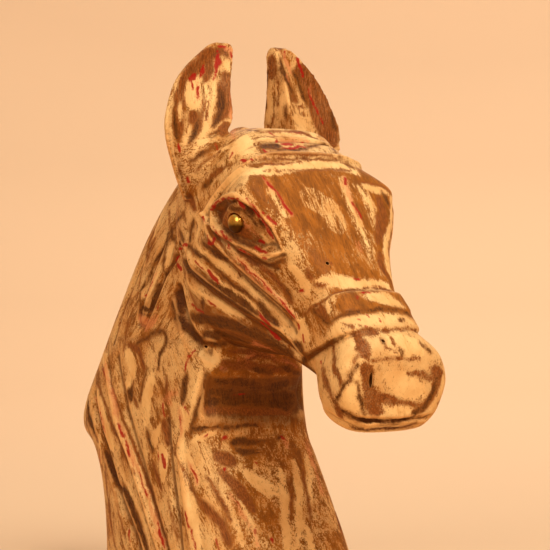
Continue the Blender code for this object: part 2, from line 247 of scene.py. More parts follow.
def stand(name, data):
    """A new object in the scene."""
    made = bpy.data.objects.new(name, data)
    bpy.context.scene.collection.objects.link(made)
    return made


def settle(obj):
    """Makes the modifiers' result the object's own mesh."""
    bpy.context.view_layer.update()
    graph = bpy.context.evaluated_depsgraph_get()
    mesh = bpy.data.meshes.new_from_object(obj.evaluated_get(graph))
    obj.modifiers.clear()
    obj.data = mesh


# Fineness of the skin, and how often and how far the steps left by its grid are eased away
SKIN_GRID = 1.0 * MM
SKIN_SMOOTHING = 8
SKIN_EASE = 0.5

shell = bmesh.new()
add_neck(shell)
add_head(shell, eased(HEAD, 3))
add_head(shell, eased(MUZZLE, 4))
add_head(shell, NOSEBAND, BAND_LEAN)
add_head(shell, COLLAR, BAND_LEAN)
add_ear(shell, -1)
add_ear(shell, 1)
add_tuft(shell)
bmesh.ops.recalc_face_normals(shell, faces=shell.faces[:])
block_mesh = bpy.data.meshes.new("carved_head")
shell.to_mesh(block_mesh)
shell.free()
carved_head = stand("carved_head", block_mesh)
skin = carved_head.modifiers.new("one_skin", "REMESH")
skin.mode = "VOXEL"
skin.voxel_size = SKIN_GRID
ease = carved_head.modifiers.new("eased", "SMOOTH")
ease.factor = SKIN_EASE
ease.iterations = SKIN_SMOOTHING
settle(carved_head)

# Cuts and raised edges on the sides of the head: path of (along, deep), half width, height
HEAD_SIDE_STROKES = (
    (((-6, 0), (-5, 13), (-5, 29), (-5, 44), (-3, 57)), 3.6, 2.4),
    (((-3, 57), (13, 53), (35, 49), (57, 44), (75, 39), (90, 36)), 3.0, 2.0),
    (((4, 52), (16, 49), (34, 43), (48, 36), (60, 26)), 2.6, -1.6),
    (((8, 61), (30, 57), (55, 52), (78, 47), (93, 44)), 4.0, -2.0),
    (((-6, 89), (19, 83), (41, 74), (66, 63), (85, 53), (106, 47)), 3.0, 1.8),
    (((-8, 98), (19, 92), (41, 83), (66, 72), (85, 62), (104, 55)), 4.5, -2.4),
    (((10, 122), (34, 124), (52, 120), (68, 110), (84, 96), (98, 79), (112, 66)), 7.0, -5.0),
    (((142, 43), (152, 40), (162, 35), (172, 30)), 2.6, -2.0),
)

# The same on the sides of the neck: path of (front, up), half width, height
NECK_SIDE_STROKES = (
    (((-96, 150), (-69, 106), (-48, 86), (-25, 59), (-1, 31), (16, 6)), 3.2, 2.4),
    (((-112, 124), (-92, 97), (-57, 56), (-32, 33), (-8, 2)), 6.0, -3.4),
    (((-78, 150), (-58, 116), (-32, 84), (-10, 54), (14, 24)), 5.0, -1.8),
    (((-30, 224), (-41, 205), (-50, 185), (-52, 173), (-44, 171), (-34, 186), (-24, 203)), 3.4, -2.4),
    (((-14, 236), (-18, 218), (-22, 205), (-12, 214), (-3, 226)), 2.6, -1.8),
    (((-52, 222), (-66, 202), (-78, 184), (-88, 160)), 4.0, -1.8),
    (((12, 98), (24, 66), (38, 32), (48, 6)), 5.0, 1.8),
    (((-6, 112), (4, 84), (17, 52), (28, 22)), 5.0, -2.2),
)

# The same across the face and the poll: path of (across, along), half width, height
FACE_STROKES = (
    (((-54, -5), (-30, -9), (0, -10), (30, -9), (54, -5)), 3.4, 2.0),
    (((-50, -20), (-25, -23), (0, -24), (25, -23), (50, -20)), 3.0, -1.8),
    (((-40, -31), (-20, -34), (0, -35), (20, -34), (40, -31)), 6.0, 1.6),
)

# The same on the front of the muzzle, and on the front of the neck under the chin: path of (across, up)
LIP_STROKES = (
    (((-34, 121), (-22, 120), (0, 119), (22, 120), (34, 121)), 2.8, -2.4),
)
THROAT_STROKES = (
    (((-40, 128), (-20, 127), (20, 127), (40, 128)), 15.0, -4.0),
)

# Where each set holds: the muzzle is ahead of the neck, strokes on the face end this deep, and those on
# the sides of the head fade out below the ears
AHEAD_OF_NECK = 90
FACE_ENDS = 40
EARS_BEGIN = 285
FADE = 12

# The corners of the lids of an eye, (along, deep), how they are cut, and the middle of the eyeball
UPPER_LID = ((-1, 47), (5, 28), (15, 14), (28, 8), (42, 9), (55, 14))
LOWER_LID = ((47, 28), (32, 37), (15, 46))
LID_WIDTH = 3.2
LID_HEIGHT = 1.4
LID_INSIDE = 0.4
SOCKET_DEPTH = 5.0
EYEBALL = (24, 28.5)
EYEBALL_RADIUS = 18
EYEBALL_HEIGHT = 3.4


def dot(rows, line):
    """Each row's product with a line, summed in a fixed order, so that every run gives the same digits."""
    return (rows * line).sum(-1)


def from_path(points, path, closed=False):
    """Each point's distance from a path in the same plane."""
    corners = np.array(path + path[:1] if closed else path, float)
    nearest = np.full(len(points), np.inf)
    for start, end in zip(corners, corners[1:]):
        step = end - start
        share = np.clip(dot(points - start, step) / dot(step, step), 0.0, 1.0)
        gap = points - start - share[:, None] * step
        nearest = np.minimum(nearest, np.hypot(gap[:, 0], gap[:, 1]))
    return nearest


def inside_path(points, path):
    """Whether each point lies inside a closed path."""
    inside = np.zeros(len(points), bool)
    for (x1, y1), (x2, y2) in zip(path, path[1:] + path[:1]):
        crosses = (y1 > points[:, 1]) != (y2 > points[:, 1])
        rise = (y2 - y1) or 1.0
        inside ^= crosses & (points[:, 0] < x1 + (points[:, 1] - y1) * (x2 - x1) / rise)
    return inside


def stroke_height(points, strokes):
    """How far a set of strokes raises each point: a rounded ridge, or a groove where it is below zero."""
    height = np.zeros(len(points))
    for path, half_width, rise in strokes:
        share = np.clip(from_path(points, path) / half_width, 0.0, 1.0)
        height += rise * (1.0 - share**2) ** 2
    return height


def eye_height(points):
    """A raised rim round the lids, a sunk socket inside them and the swell of the eyeball in it."""
    lids = UPPER_LID + LOWER_LID
    gap = from_path(points, lids, closed=True)
    rim = LID_HEIGHT * np.clip(1.0 - gap / LID_WIDTH, 0.0, 1.0)
    sunk = SOCKET_DEPTH * np.clip(gap / LID_WIDTH, 0.0, 1.0)
    away = np.clip(np.hypot(*(points - np.array(EYEBALL)).T) / EYEBALL_RADIUS, 0.0, 1.0)
    ball = EYEBALL_HEIGHT * (1.0 - away**2)
    return np.where(inside_path(points, lids), rim * LID_INSIDE - sunk + np.minimum(ball, sunk), rim)


def places(mesh):
    """The mesh's points and normals: across, back and up in millimetres, and where each is on the head."""
    flat = np.empty(len(mesh.vertices) * 3)
    mesh.vertices.foreach_get("co", flat)
    place = flat.reshape(-1, 3) / MM
    mesh.vertices.foreach_get("normal", flat)
    normal = flat.reshape(-1, 3).copy()
    ahead = -place[:, 1] - BROW_FRONT
    above = place[:, 2] - BROW_UP
    along = ahead * math.cos(FACE_SLOPE) - above * math.sin(FACE_SLOPE)
    deep = -ahead * math.sin(FACE_SLOPE) - above * math.cos(FACE_SLOPE)
    return place.copy(), normal, along, deep


def move_points(mesh, place):
    """Sets the mesh's points, given in millimetres."""
    mesh.vertices.foreach_set("co", (place * MM).ravel())
    mesh.update()


def face_on(normal):
    """How squarely each point looks out of the face."""
    return -normal[:, 1] * math.sin(FACE_SLOPE) + normal[:, 2] * math.cos(FACE_SLOPE)


# The larger cuts, each only on the points that look the way it was cut from
place, normal, along, deep = places(carved_head.data)
across, front, up = place[:, 0], -place[:, 1], place[:, 2]
on_head = np.stack([along, deep], 1)
sideways = np.clip((np.abs(normal[:, 0]) - 0.25) / 0.35, 0.0, 1.0)
faceward = np.clip((face_on(normal) - 0.45) / 0.3, 0.0, 1.0)
forward = np.clip((-normal[:, 1] - 0.5) / 0.3, 0.0, 1.0)
below_ears = np.clip((EARS_BEGIN - up) / FADE, 0.0, 1.0)
rise = sideways * below_ears * stroke_height(on_head, HEAD_SIDE_STROKES)
rise += sideways * below_ears * eye_height(on_head)
rise += sideways * stroke_height(np.stack([front, up], 1), NECK_SIDE_STROKES)
rise += faceward * (deep < FACE_ENDS) * stroke_height(np.stack([across, along], 1), FACE_STROKES)
on_front = np.stack([across, up], 1)
rise += forward * (front > AHEAD_OF_NECK) * stroke_height(on_front, LIP_STROKES)
rise += forward * (front < AHEAD_OF_NECK) * stroke_height(on_front, THROAT_STROKES)
move_points(carved_head.data, place + normal * rise[:, None])

# Worked places on the neck and mane: finish, half width, rise, and path of (across, front, up).
# Finishes are w bare wood, c cream, s scuffed cream, b brown, d dark stain, p pink and r red. Dark
# stain also stands for painted shade under the chin and inside the holes, and brown for painted shade
# on the right ear's rim
NECK_WORK = (
    ("c", 3.1, 0.8, ((-22, -114, 151.5), (-36.5, -89, 139.5), (-39, -77.5, 123), (-41.5, -66.5, 106.5),
        (-43, -54.5, 96), (-44.5, -44, 86.5), (-47, -31.5, 73), (-49, -19.5, 60), (-51, -6, 43.5),
        (-52.5, 5, 31.5))),
    ("b", 1.6, -0.6, ((-30.5, -108.5, 131), (-37, -89.5, 119), (-40, -75.5, 104.5), (-42, -64, 95.5),
        (-44, -53, 85), (-48.5, -37.5, 75))),
    ("b", 1.6, -0.7, ((-36.5, -82.5, 133), (-40, -64.5, 112), (-44, -44, 92.5), (-46, -27, 73.5),
        (-48.5, -11, 55.5), (-52, 6, 34))),
    ("p", 1.9, 0.0, ((-35, -91.5, 143.5), (-37.5, -85, 134), (-39, -76, 121.5), (-41, -67.5, 108.5))),
    ("p", 1.9, 0.0, ((-41, -67.5, 108.5), (-42.5, -55, 97.5), (-44.5, -44, 86.5), (-47, -31.5, 73),
        (-48.5, -21, 62.5))),
    ("p", 1.6, 0.0, ((-49, -18, 58.5), (-51, -6, 43.5), (-52.5, 5, 31.5))),
    ("r", 1.2, 0.0, ((-42, -67, 106.5), (-42.5, -61.5, 101.5), (-43.5, -54, 95), (-45, -46, 87))),
    ("r", 1.0, 0.0, ((-30.5, -101, 141.5), (-33.5, -94.5, 135.5))),
    ("r", 0.8, 0.0, ((-46.5, -34.5, 76), (-47.5, -28, 69.5), (-48.5, -22, 62.5))),
    ("r", 1.1, 0.0, ((-50.5, -7.5, 46), (-51.5, -3.5, 41.5), (-53, 3.5, 32))),
    ("c", 5.0, 0.9, ((-33, -105.5, 124.5), (-37, -94, 112), (-40, -82, 99.5), (-41.5, -72.5, 88.5))),
    ("p", 2.8, 0.0, ((-29, -111, 120.5), (-37.5, -93, 109), (-40, -83.5, 95.5))),
    ("r", 0.6, 0.0, ((-37, -94, 111.5), (-39, -87, 102), (-40, -81.5, 95.5))),
    ("d", 3.1, -1.0, ((-28.5, -123, 117), (-33, -115, 107), (-36.5, -102, 97.5))),
    ("d", 1.2, -0.5, ((-31, -122.5, 102), (-28, -120, 92.5), (-29.5, -111, 83.5))),
    ("c", 2.2, 0.6, ((-37, -96.5, 96), (-36.5, -95.5, 87.5), (-36, -95.5, 78))),
    ("r", 1.0, 0.0, ((-36.5, -96, 87), (-34.5, -99, 78.5))),
    ("d", 3.4, -1.3, ((-37.5, -87, 85.5), (-39, -78.5, 77), (-40, -69, 69), (-47, -48, 60),
        (-49, -35, 48.5), (-51.5, -22.5, 35.5), (-52.5, -15, 27.5))),
    ("c", 1.4, 0.6, ((-43, -65.5, 81.5), (-45.5, -52, 70), (-48.5, -35, 57), (-51, -19.5, 42.5),
        (-52.5, -13, 30.5))),
    ("b", 1.2, -0.4, ((-39, -86, 73.5), (-41, -79.5, 54.5), (-44.5, -69, 35.5), (-47, -60, 23.5))),
    ("b", 1.0, -0.3, ((-43, -71.5, 63), (-46.5, -58, 48.5), (-49.5, -45, 32))),
    ("r", 0.8, 0.0, ((-48, -43, 38), (-50.5, -39, 30.5))),
    ("c", 3.7, 0.7, ((-44.5, -14.5, 107), (-45, -18, 100.5), (-45.5, -22, 94))),
    ("d", 1.6, -0.7, ((-44, -29, 103), (-45, -25, 97.5), (-46, -19, 91))),
    ("b", 2.8, -0.7, ((-44, -10.5, 112), (-44.5, -6.5, 104.5), (-45, -3, 96.5))),
    ("c", 5.0, 0.8, ((-46, -10.5, 94), (-47.5, -5.5, 87), (-48.5, -4, 75.5))),
    ("r", 2.1, 0.0, ((-47, -6.5, 91), (-47.5, -4.5, 86), (-48, -2.5, 82))),
    ("r", 0.9, 0.0, ((-46.5, -12.5, 91.5), (-47, -10.5, 86))),
    ("b", 1.9, -0.7, ((-46.5, -18, 84.5), (-48, -11.5, 76), (-49.5, -4, 68))),
    ("c", 1.2, 0.4, ((-49.5, 5.5, 69), (-50, 10.5, 60.5), (-50.5, 16.5, 51))),
    ("b", 1.2, -0.4, ((-50, 3, 63.5), (-52, 10.5, 53.5), (-53, 18.5, 39))),
    ("c", 5.6, 1.0, ((-48.5, 11, 93), (-51, 20, 79), (-52, 28.5, 62.5), (-53, 36, 48), (-54.5, 43, 35.5))),
    ("r", 0.9, 0.0, ((-53.5, 27, 58), (-54.5, 32.5, 49), (-54.5, 37.5, 41.5), (-54.5, 41.5, 35))),
    ("c", 3.1, 0.5, ((-44, 8.5, 122.5), (-44.5, 13.5, 113.5), (-46.5, 12.5, 102), (-47.5, 18.5, 93),
        (-48, 27, 84), (-48.5, 34, 75))),
    ("r", 0.9, 0.0, ((-44, 11.5, 123), (-44, 16, 119), (-44, 19, 115))),
    ("p", 2.1, 0.0, ((-44, 6.5, 120.5), (-45, 12, 110), (-46.5, 11.5, 102))),
    ("r", 0.7, 0.0, ((-44.5, 8, 116), (-45, 12, 108))),
    ("p", 2.0, 0.0, ((-48, 22.5, 87.5), (-48.5, 34, 75))),
    ("r", 1.2, 0.0, ((-48, 25.5, 84.5), (-48, 30, 80.5), (-48.5, 32.5, 76.5))),
    ("b", 1.6, -0.8, ((-44.5, 0.5, 94.5), (-50, 15.5, 88), (-49.5, 23.5, 78.5), (-50, 30.5, 70.5),
        (-50, 38, 63), (-49.5, 45, 57.5))),
    ("b", 2.9, -0.8, ((-49.5, 37.5, 65.5), (-48, 48.5, 57.5), (-45.5, 55.5, 51), (-45, 62.5, 39))),
    ("d", 3.4, -0.9, ((-43, 14, 141.5), (-43.5, 12, 133.5), (-44, 10.5, 124.5))),
    ("b", 1.9, -0.4, ((-42, -10, 140), (-43, -8.5, 127.5))),
    ("d", 4.0, -1.0, ((-38.5, -54, 139), (-39, -55.5, 131), (-40, -53, 123))),
    ("b", 1.9, -0.5, ((-40, -49.5, 124.5), (-41, -43, 117.5))),
    ("d", 0.9, -0.5, ((-39.5, -35, 143), (-40, -39, 134), (-41, -41.5, 123))),
    ("c", 5.3, 0.5, ((-40.5, -28, 138), (-41.5, -33.5, 123.5), (-43, -31, 108))),
    ("c", 5.3, 0.4, ((-36, -63.5, 153.5), (-38.5, -53.5, 142), (-38.5, -60, 132))),
    ("d", 1.4, -0.8, ((-37, -51, 159.5), (-37.5, -38.5, 164), (-38, -24.5, 168), (-39.5, -14, 166),
        (-40, -14, 159.5), (-40, -19.5, 153), (-41, -21, 144))),
    ("b", 2.5, -0.6, ((-35.5, -63, 158.5), (-37.5, -49, 155.5), (-38.5, -42.5, 148.5), (-39.5, -37.5, 141.5))),
    ("r", 1.4, 0.0, ((-40, 17.5, 157.5), (-42, 16, 153), (-41.5, 11.5, 155.5))),
    ("r", 1.2, 0.0, ((-42, 14, 151), (-42.5, 12.5, 147), (-42.5, 12, 143.5))),
    ("r", 1.2, 0.0, ((-43, -12, 122.5), (-44, -10, 115))),
    ("r", 0.9, 0.0, ((-39.5, -26, 151.5), (-40, -24, 148.5))),
    ("p", 1.9, 0.0, ((-43.5, -3, 122), (-43, -10, 126), (-43.5, 5.5, 130.5))),
    ("c", 2.4, 0.6, ((-32.5, -25.5, 213), (-33.5, -34, 203), (-34, -44.5, 189))),
    ("p", 1.5, 0.0, ((-33, -33.5, 206), (-33.5, -39.5, 197), (-32, -49, 190))),
    ("r", 0.7, 0.0, ((-33.5, -37, 199.5), (-31.5, -48, 191.5))),
    ("d", 1.1, -0.8, ((-30.5, -21.5, 229), (-29.5, -34, 219), (-31, -41, 210), (-32, -46, 201.5),
        (-32, -53, 194), (-33, -52.5, 186.5))),
    ("d", 3.0, -1.3, ((-32.5, -51.5, 183), (-35, -39.5, 182.5), (-34.5, -35, 189), (-33.5, -28.5, 199.5))),
    ("d", 2.2, -0.8, ((-33, -52, 185.5), (-32.5, -51.5, 179), (-34, -41, 178))),
    ("d", 0.9, -0.6, ((-45, 14, 244), (-41.5, 1.5, 238.5), (-29.5, -22, 234.5))),
    ("d", 0.9, -0.7, ((-30, -24, 232), (-31.5, -26, 219.5), (-33, -26.5, 210.5), (-32.5, -22.5, 205.5))),
    ("d", 0.8, -0.6, ((-32.5, -11.5, 217.5), (-32.5, -18, 210.5), (-32, -23, 205))),
    ("c", 3.4, 0.4, ((-30, -16.5, 227.5), (-31.5, -19.5, 219), (-33, -22, 211))),
    ("d", 1.7, -0.7, ((-29.5, -22.5, 236), (-30.5, -17.5, 227))),
    ("d", 1.7, -0.8, ((-44, 8, 232), (-47, 15, 225))),
    ("d", 1.9, -0.8, ((-47.5, 28, 238.5), (-47.5, 25, 232.5), (-48, 24.5, 226))),
    ("c", 2.1, 0.6, ((-47, 30, 243.5), (-49, 36, 235), (-50.5, 34.5, 226.5))),
    ("b", 2.8, -0.7, ((-46, 21, 255.5), (-46.5, 27, 246.5))),
    ("r", 1.4, 0.0, ((-39.5, 4.5, 221.5), (-31.5, -10, 216.5), (-32, -13, 212.5))),
    ("r", 1.5, 0.0, ((-34, -9.5, 213), (-35, -3, 208))),
    ("r", 0.9, 0.0, ((-44, 10.5, 223.5), (-47.5, 20.5, 223))),
    ("b", 0.9, -0.4, ((-18.5, -45.5, 250.5), (-24, -48.5, 236), (-25.5, -55.5, 220), (-29.5, -56.5, 205),
        (-32, -58, 189.5))),
    ("b", 0.7, -0.3, ((-26.5, -71, 196), (-27.5, -82.5, 176), (-30.5, -88, 157.5))),
    ("b", 0.9, -0.4, ((-33, -67, 173.5), (-34, -67.5, 165), (-35.5, -68.5, 155))),
    ("b", 1.6, -0.4, ((-27.5, -43.5, 229), (-28, -48.5, 221.5), (-29.5, -50, 213.5))),
    ("p", 3.7, 0.0, ((-33, -52.5, 176.5), (-36.5, -38.5, 172), (-36.5, -29, 178))),
    ("r", 1.3, 0.0, ((-36, -28, 186), (-36.5, -28, 180.5))),
    ("b", 0.7, -0.3, ((-26, -29.5, 246.5), (-28.5, -26, 238))),
    ("c", 2.2, 0.3, ((-22.5, -41.5, 246.5), (-26, -46.5, 231))),
    ("b", 1.9, -0.5, ((-46.5, 18.5, 252), (-47, 30, 244))),
)

# The same on the cheek and jaw
CHEEK_WORK = (
    ("c", 4.3, 0.2, ((-47, 65.5, 211.5), (-40, 78, 198), (-34, 90, 186), (-29, 101.5, 174), (-30, 111.5, 166))),
    ("c", 2.5, 0.0, ((-50.5, 32.5, 223), (-52.5, 50, 216.5), (-49.5, 60, 210.5), (-45, 69, 203))),
    ("c", 2.5, 0.7, ((-49, 24, 219), (-50.5, 43, 208.5), (-46.5, 54.5, 200), (-42, 68.5, 192),
        (-36, 83, 182.5), (-31.5, 98.5, 170.5))),
    ("d", 1.2, -0.7, ((-48, 23.5, 222.5), (-53, 42, 217), (-50.5, 51.5, 211), (-46.5, 60.5, 202.5),
        (-43, 70, 196), (-39, 80.5, 189.5))),
    ("r", 1.6, 0.0, ((-50, 46.5, 208), (-48.5, 49.5, 203.5), (-47, 54, 200.5))),
    ("r", 0.8, 0.0, ((-51.5, 36, 213), (-50.5, 42, 208.5))),
    ("r", 1.4, 0.0, ((-38.5, 75.5, 184.5), (-37, 82, 180), (-34.5, 89, 174.5))),
    ("r", 1.5, 0.0, ((-34.5, 81, 176), (-30, 84, 170.5), (-27, 89, 166))),
    ("d", 5.3, -0.9, ((-41.5, 9.5, 212.5), (-49, 31.5, 205), (-47, 45.5, 197.5), (-44, 63, 189.5),
        (-38, 79.5, 180))),
    ("c", 2.8, 0.4, ((-44.5, 17.5, 199), (-45, 34.5, 191), (-40.5, 50.5, 186), (-36, 64, 180))),
    ("d", 3.7, -0.8, ((-33.5, -7, 195), (-34, -3.5, 187), (-36, -1, 181))),
    ("d", 1.9, -0.6, ((-44.5, 34, 190), (-41.5, 29.5, 183))),
    ("r", 0.9, 0.0, ((-38.5, 12.5, 186.5), (-38.5, 19.5, 183.5), (-40.5, 29.5, 181))),
    ("r", 0.8, 0.0, ((-44.5, 39, 189), (-43, 44, 185))),
    ("d", 2.5, -0.9, ((-37, -10, 187), (-38.5, -1.5, 177.5), (-36, 7, 170.5), (-35.5, 16, 165),
        (-36, 25.5, 162))),
    ("d", 1.5, -0.5, ((-38, -7.5, 180.5), (-39.5, 2, 171))),
    ("c", 0.7, 0.3, ((-34, 0, 183), (-34.5, 5.5, 177.5))),
    ("d", 4.3, -0.9, ((-39, 12, 178), (-38.5, 36.5, 176), (-36.5, 59, 172.5), (-31.5, 75.5, 167),
        (-26, 88, 160.5), (-23, 96, 155.5))),
    ("d", 2.8, -0.7, ((-35.5, 13.5, 167.5), (-34.5, 31.5, 166.5), (-32, 49, 165.5), (-29.5, 64, 162.5))),
    ("d", 2.2, -0.5, ((-36.5, 28, 162.5), (-27.5, 34.5, 161))),
    ("b", 1.2, 0.5, ((-37.5, 26.5, 172), (-35.5, 45, 170.5), (-33, 65, 167.5))),
    ("d", 1.5, -0.9, ((-25.5, 88, 160), (-22.5, 94.5, 155.5), (31, 33, 145.5))),
    ("p", 1.5, 0.3, ((-29, 62, 162), (-28, 72.5, 161), (-22, 78.5, 157.5))),
    ("p", 1.2, 0.3, ((-23, 58, 158), (13, 34.5, 151.5), (30, 33.5, 146))),
    ("b", 1.9, -0.5, ((-24, 34.5, 156.5), (-7, 34.5, 156), (16, 34, 149))),
    ("c", 5.6, 0.0, ((-36, 24, 156.5), (-34.5, 31.5, 150))),
    ("d", 2.6, -0.7, ((-38, 81.5, 188), (-35, 87.5, 181), (-32.5, 93.5, 174.5))),
    ("d", 3.1, -0.6, ((-29.5, 107, 164.5), (-30, 112.5, 159), (-21, 104, 151.5))),
    ("c", 4.0, 0.0, ((-31.5, 114, 177), (-31, 121, 167.5))),
    ("r", 0.7, 0.0, ((-32, 112, 176.5), (-30.5, 112, 173))),
    ("r", 0.7, 0.0, ((-30.5, 116, 168.5), (-30.5, 117, 164.5))),
    ("r", 0.9, 0.0, ((-35, 104, 185), (-34, 106.5, 182.5))),
    ("b", 1.9, -0.5, ((-50, 73.5, 212.5), (-43.5, 71, 204))),
    ("r", 1.4, 0.0, ((-57.5, 55.5, 228.5), (-52.5, 51, 224.5), (-56, 60, 224), (-55.5, 60, 228))),
    ("c", 0.9, 0.3, ((-51, 43, 234.5), (-51.5, 46.5, 229))),
    ("d", 1.5, -0.7, ((-53.5, 45.5, 225), (-52, 53.5, 219.5), (-49, 60, 216), (-51.5, 71, 214.5))),
    ("c", 2.5, 0.2, ((-51, 52, 212.5), (-48.5, 61, 208))),
)

# The same round an eye, with the strap below it
EYE_WORK = (
    ("b", 5.6, 0.0, ((-48.5, 59, 243.5), (-54.5, 79.5, 236.5), (-49, 86, 228))),
    ("s", 2.5, 0.0, ((-52.5, 54, 242), (-52, 62, 237), (-53, 73, 231), (-51, 81, 226))),
    ("s", 1.5, 0.0, ((-52.5, 86.5, 235.5), (-48.5, 89, 229.5), (-44.5, 90, 223.5))),
    ("d", 1.0, 0.0, ((-51, 53, 246.5), (-52.5, 64.5, 248.5), (-57, 80.5, 248.5))),
    ("c", 1.5, 0.8, ((-51.5, 45.5, 240.5), (-51, 51.5, 247), (-54, 65.5, 251.5), (-60.5, 89.5, 252.5),
        (-58.5, 94.5, 250.5), (-54, 97.5, 244.5), (-47.5, 97.5, 238), (-44, 99.5, 231),
        (-41.5, 103, 221.5))),
    ("r", 0.6, 0.0, ((-51.5, 52.5, 247), (-54, 66, 250.5), (-60, 86.5, 251))),
    ("r", 0.5, 0.0, ((-57.5, 95.5, 250), (-54.5, 101, 243.5), (-46, 99, 236.5), (-42, 101, 227))),
    ("d", 0.9, -0.6, ((-52, 61.5, 248), (-52.5, 65.5, 248.5))),
    ("r", 1.2, 0.0, ((-52, 51.5, 244.5), (-51.5, 54.5, 247))),
    ("r", 1.9, 0.0, ((-60.5, 91, 250), (-55.5, 87.5, 248), (-54.5, 88.5, 245))),
    ("r", 1.2, 0.0, ((-52, 93, 245), (-48.5, 96.5, 239.5), (-45, 98.5, 233), (-43.5, 100, 229))),
    ("d", 1.8, -1.6, ((-54, 90.5, 246.5), (-52.5, 92, 243.5), (-51, 93.5, 240))),
    ("d", 1.5, -1.6, ((-48, 96.5, 237), (-45.5, 97.5, 233))),
    ("d", 1.2, -1.2, ((-56.5, 78, 248.5), (-57, 84, 249))),
    ("c", 1.4, 0.6, ((-53, 90.5, 241), (-48.5, 93.5, 234.5), (-44.5, 94, 228), (-42.5, 98.5, 221.5))),
    ("d", 1.0, -0.5, ((-54.5, 88.5, 243.5), (-51, 92.5, 238), (-46.5, 94, 231))),
    ("c", 1.5, 0.8, ((-50.5, 45.5, 241), (-55, 59.5, 236.5), (-55, 71.5, 228.5), (-50.5, 79, 221),
        (-47, 87.5, 216), (-45, 95, 215))),
    ("r", 1.2, 0.0, ((-55.5, 67.5, 231.5), (-55, 71, 228.5), (-54, 75.5, 225.5))),
    ("r", 0.8, 0.0, ((-50.5, 79, 221), (-48.5, 83.5, 218), (-47, 87.5, 216))),
    ("d", 2.0, -0.4, ((-54, 67.5, 233.5), (-52.5, 76.5, 228.5), (-49.5, 85, 223.5), (-47, 89, 221.5))),
    ("d", 1.9, -0.3, ((-56.5, 77, 245), (-55, 86.5, 243.5))),
    ("p", 0.9, 0.2, ((-53, 86.5, 236.5), (-49.5, 90, 232.5), (-46, 92, 228))),
    ("r", 0.8, 0.0, ((-44.5, 91, 225), (-43, 94, 224))),
    ("r", 1.2, 0.0, ((-46.5, 90, 221), (-45, 93.5, 219.5), (-45, 100.5, 218))),
    ("d", 1.5, -0.9, ((-48.5, 75.5, 219.5), (-45.5, 89.5, 214.5), (-41.5, 98.5, 210.5), (-40, 109.5, 213.5))),
    ("c", 2.7, 1.0, ((-47, 92.5, 216.5), (-43.5, 99.5, 214.5), (-42.5, 109.5, 218))),
    ("r", 0.6, 0.0, ((-45, 96.5, 215.5), (-44, 98.5, 215))),
    ("b", 2.2, -0.7, ((-50.5, 76.5, 221), (-44.5, 86, 212.5), (-40.5, 97.5, 205), (-36, 104.5, 196),
        (-33, 108.5, 188.5))),
    ("c", 2.2, 0.9, ((-52, 44, 241), (-57, 64, 231.5), (-50, 72.5, 217.5), (-45, 82.5, 208),
        (-39.5, 93.5, 197), (-35, 104, 187), (-32, 113, 178.5))),
    ("p", 1.9, 0.0, ((-50.5, 72, 218), (-45, 82.5, 208), (-39.5, 93.5, 197), (-35, 104, 187),
        (-32, 113, 178.5))),
    ("r", 0.9, 0.0, ((-52, 44, 240), (-57, 64.5, 231), (-50.5, 71.5, 217.5))),
    ("r", 0.9, 0.0, ((-50.5, 71.5, 217.5), (-45, 82.5, 207), (-39.5, 93.5, 196.5), (-35.5, 103.5, 187),
        (-32.5, 112.5, 178.5))),
    ("b", 1.4, -0.7, ((-54, 50, 236), (-54.5, 60.5, 228.5), (-51.5, 69.5, 218.5), (-47, 79.5, 208),
        (-41.5, 90, 197.5), (-36.5, 101, 187.5), (-31, 106, 179))),
)

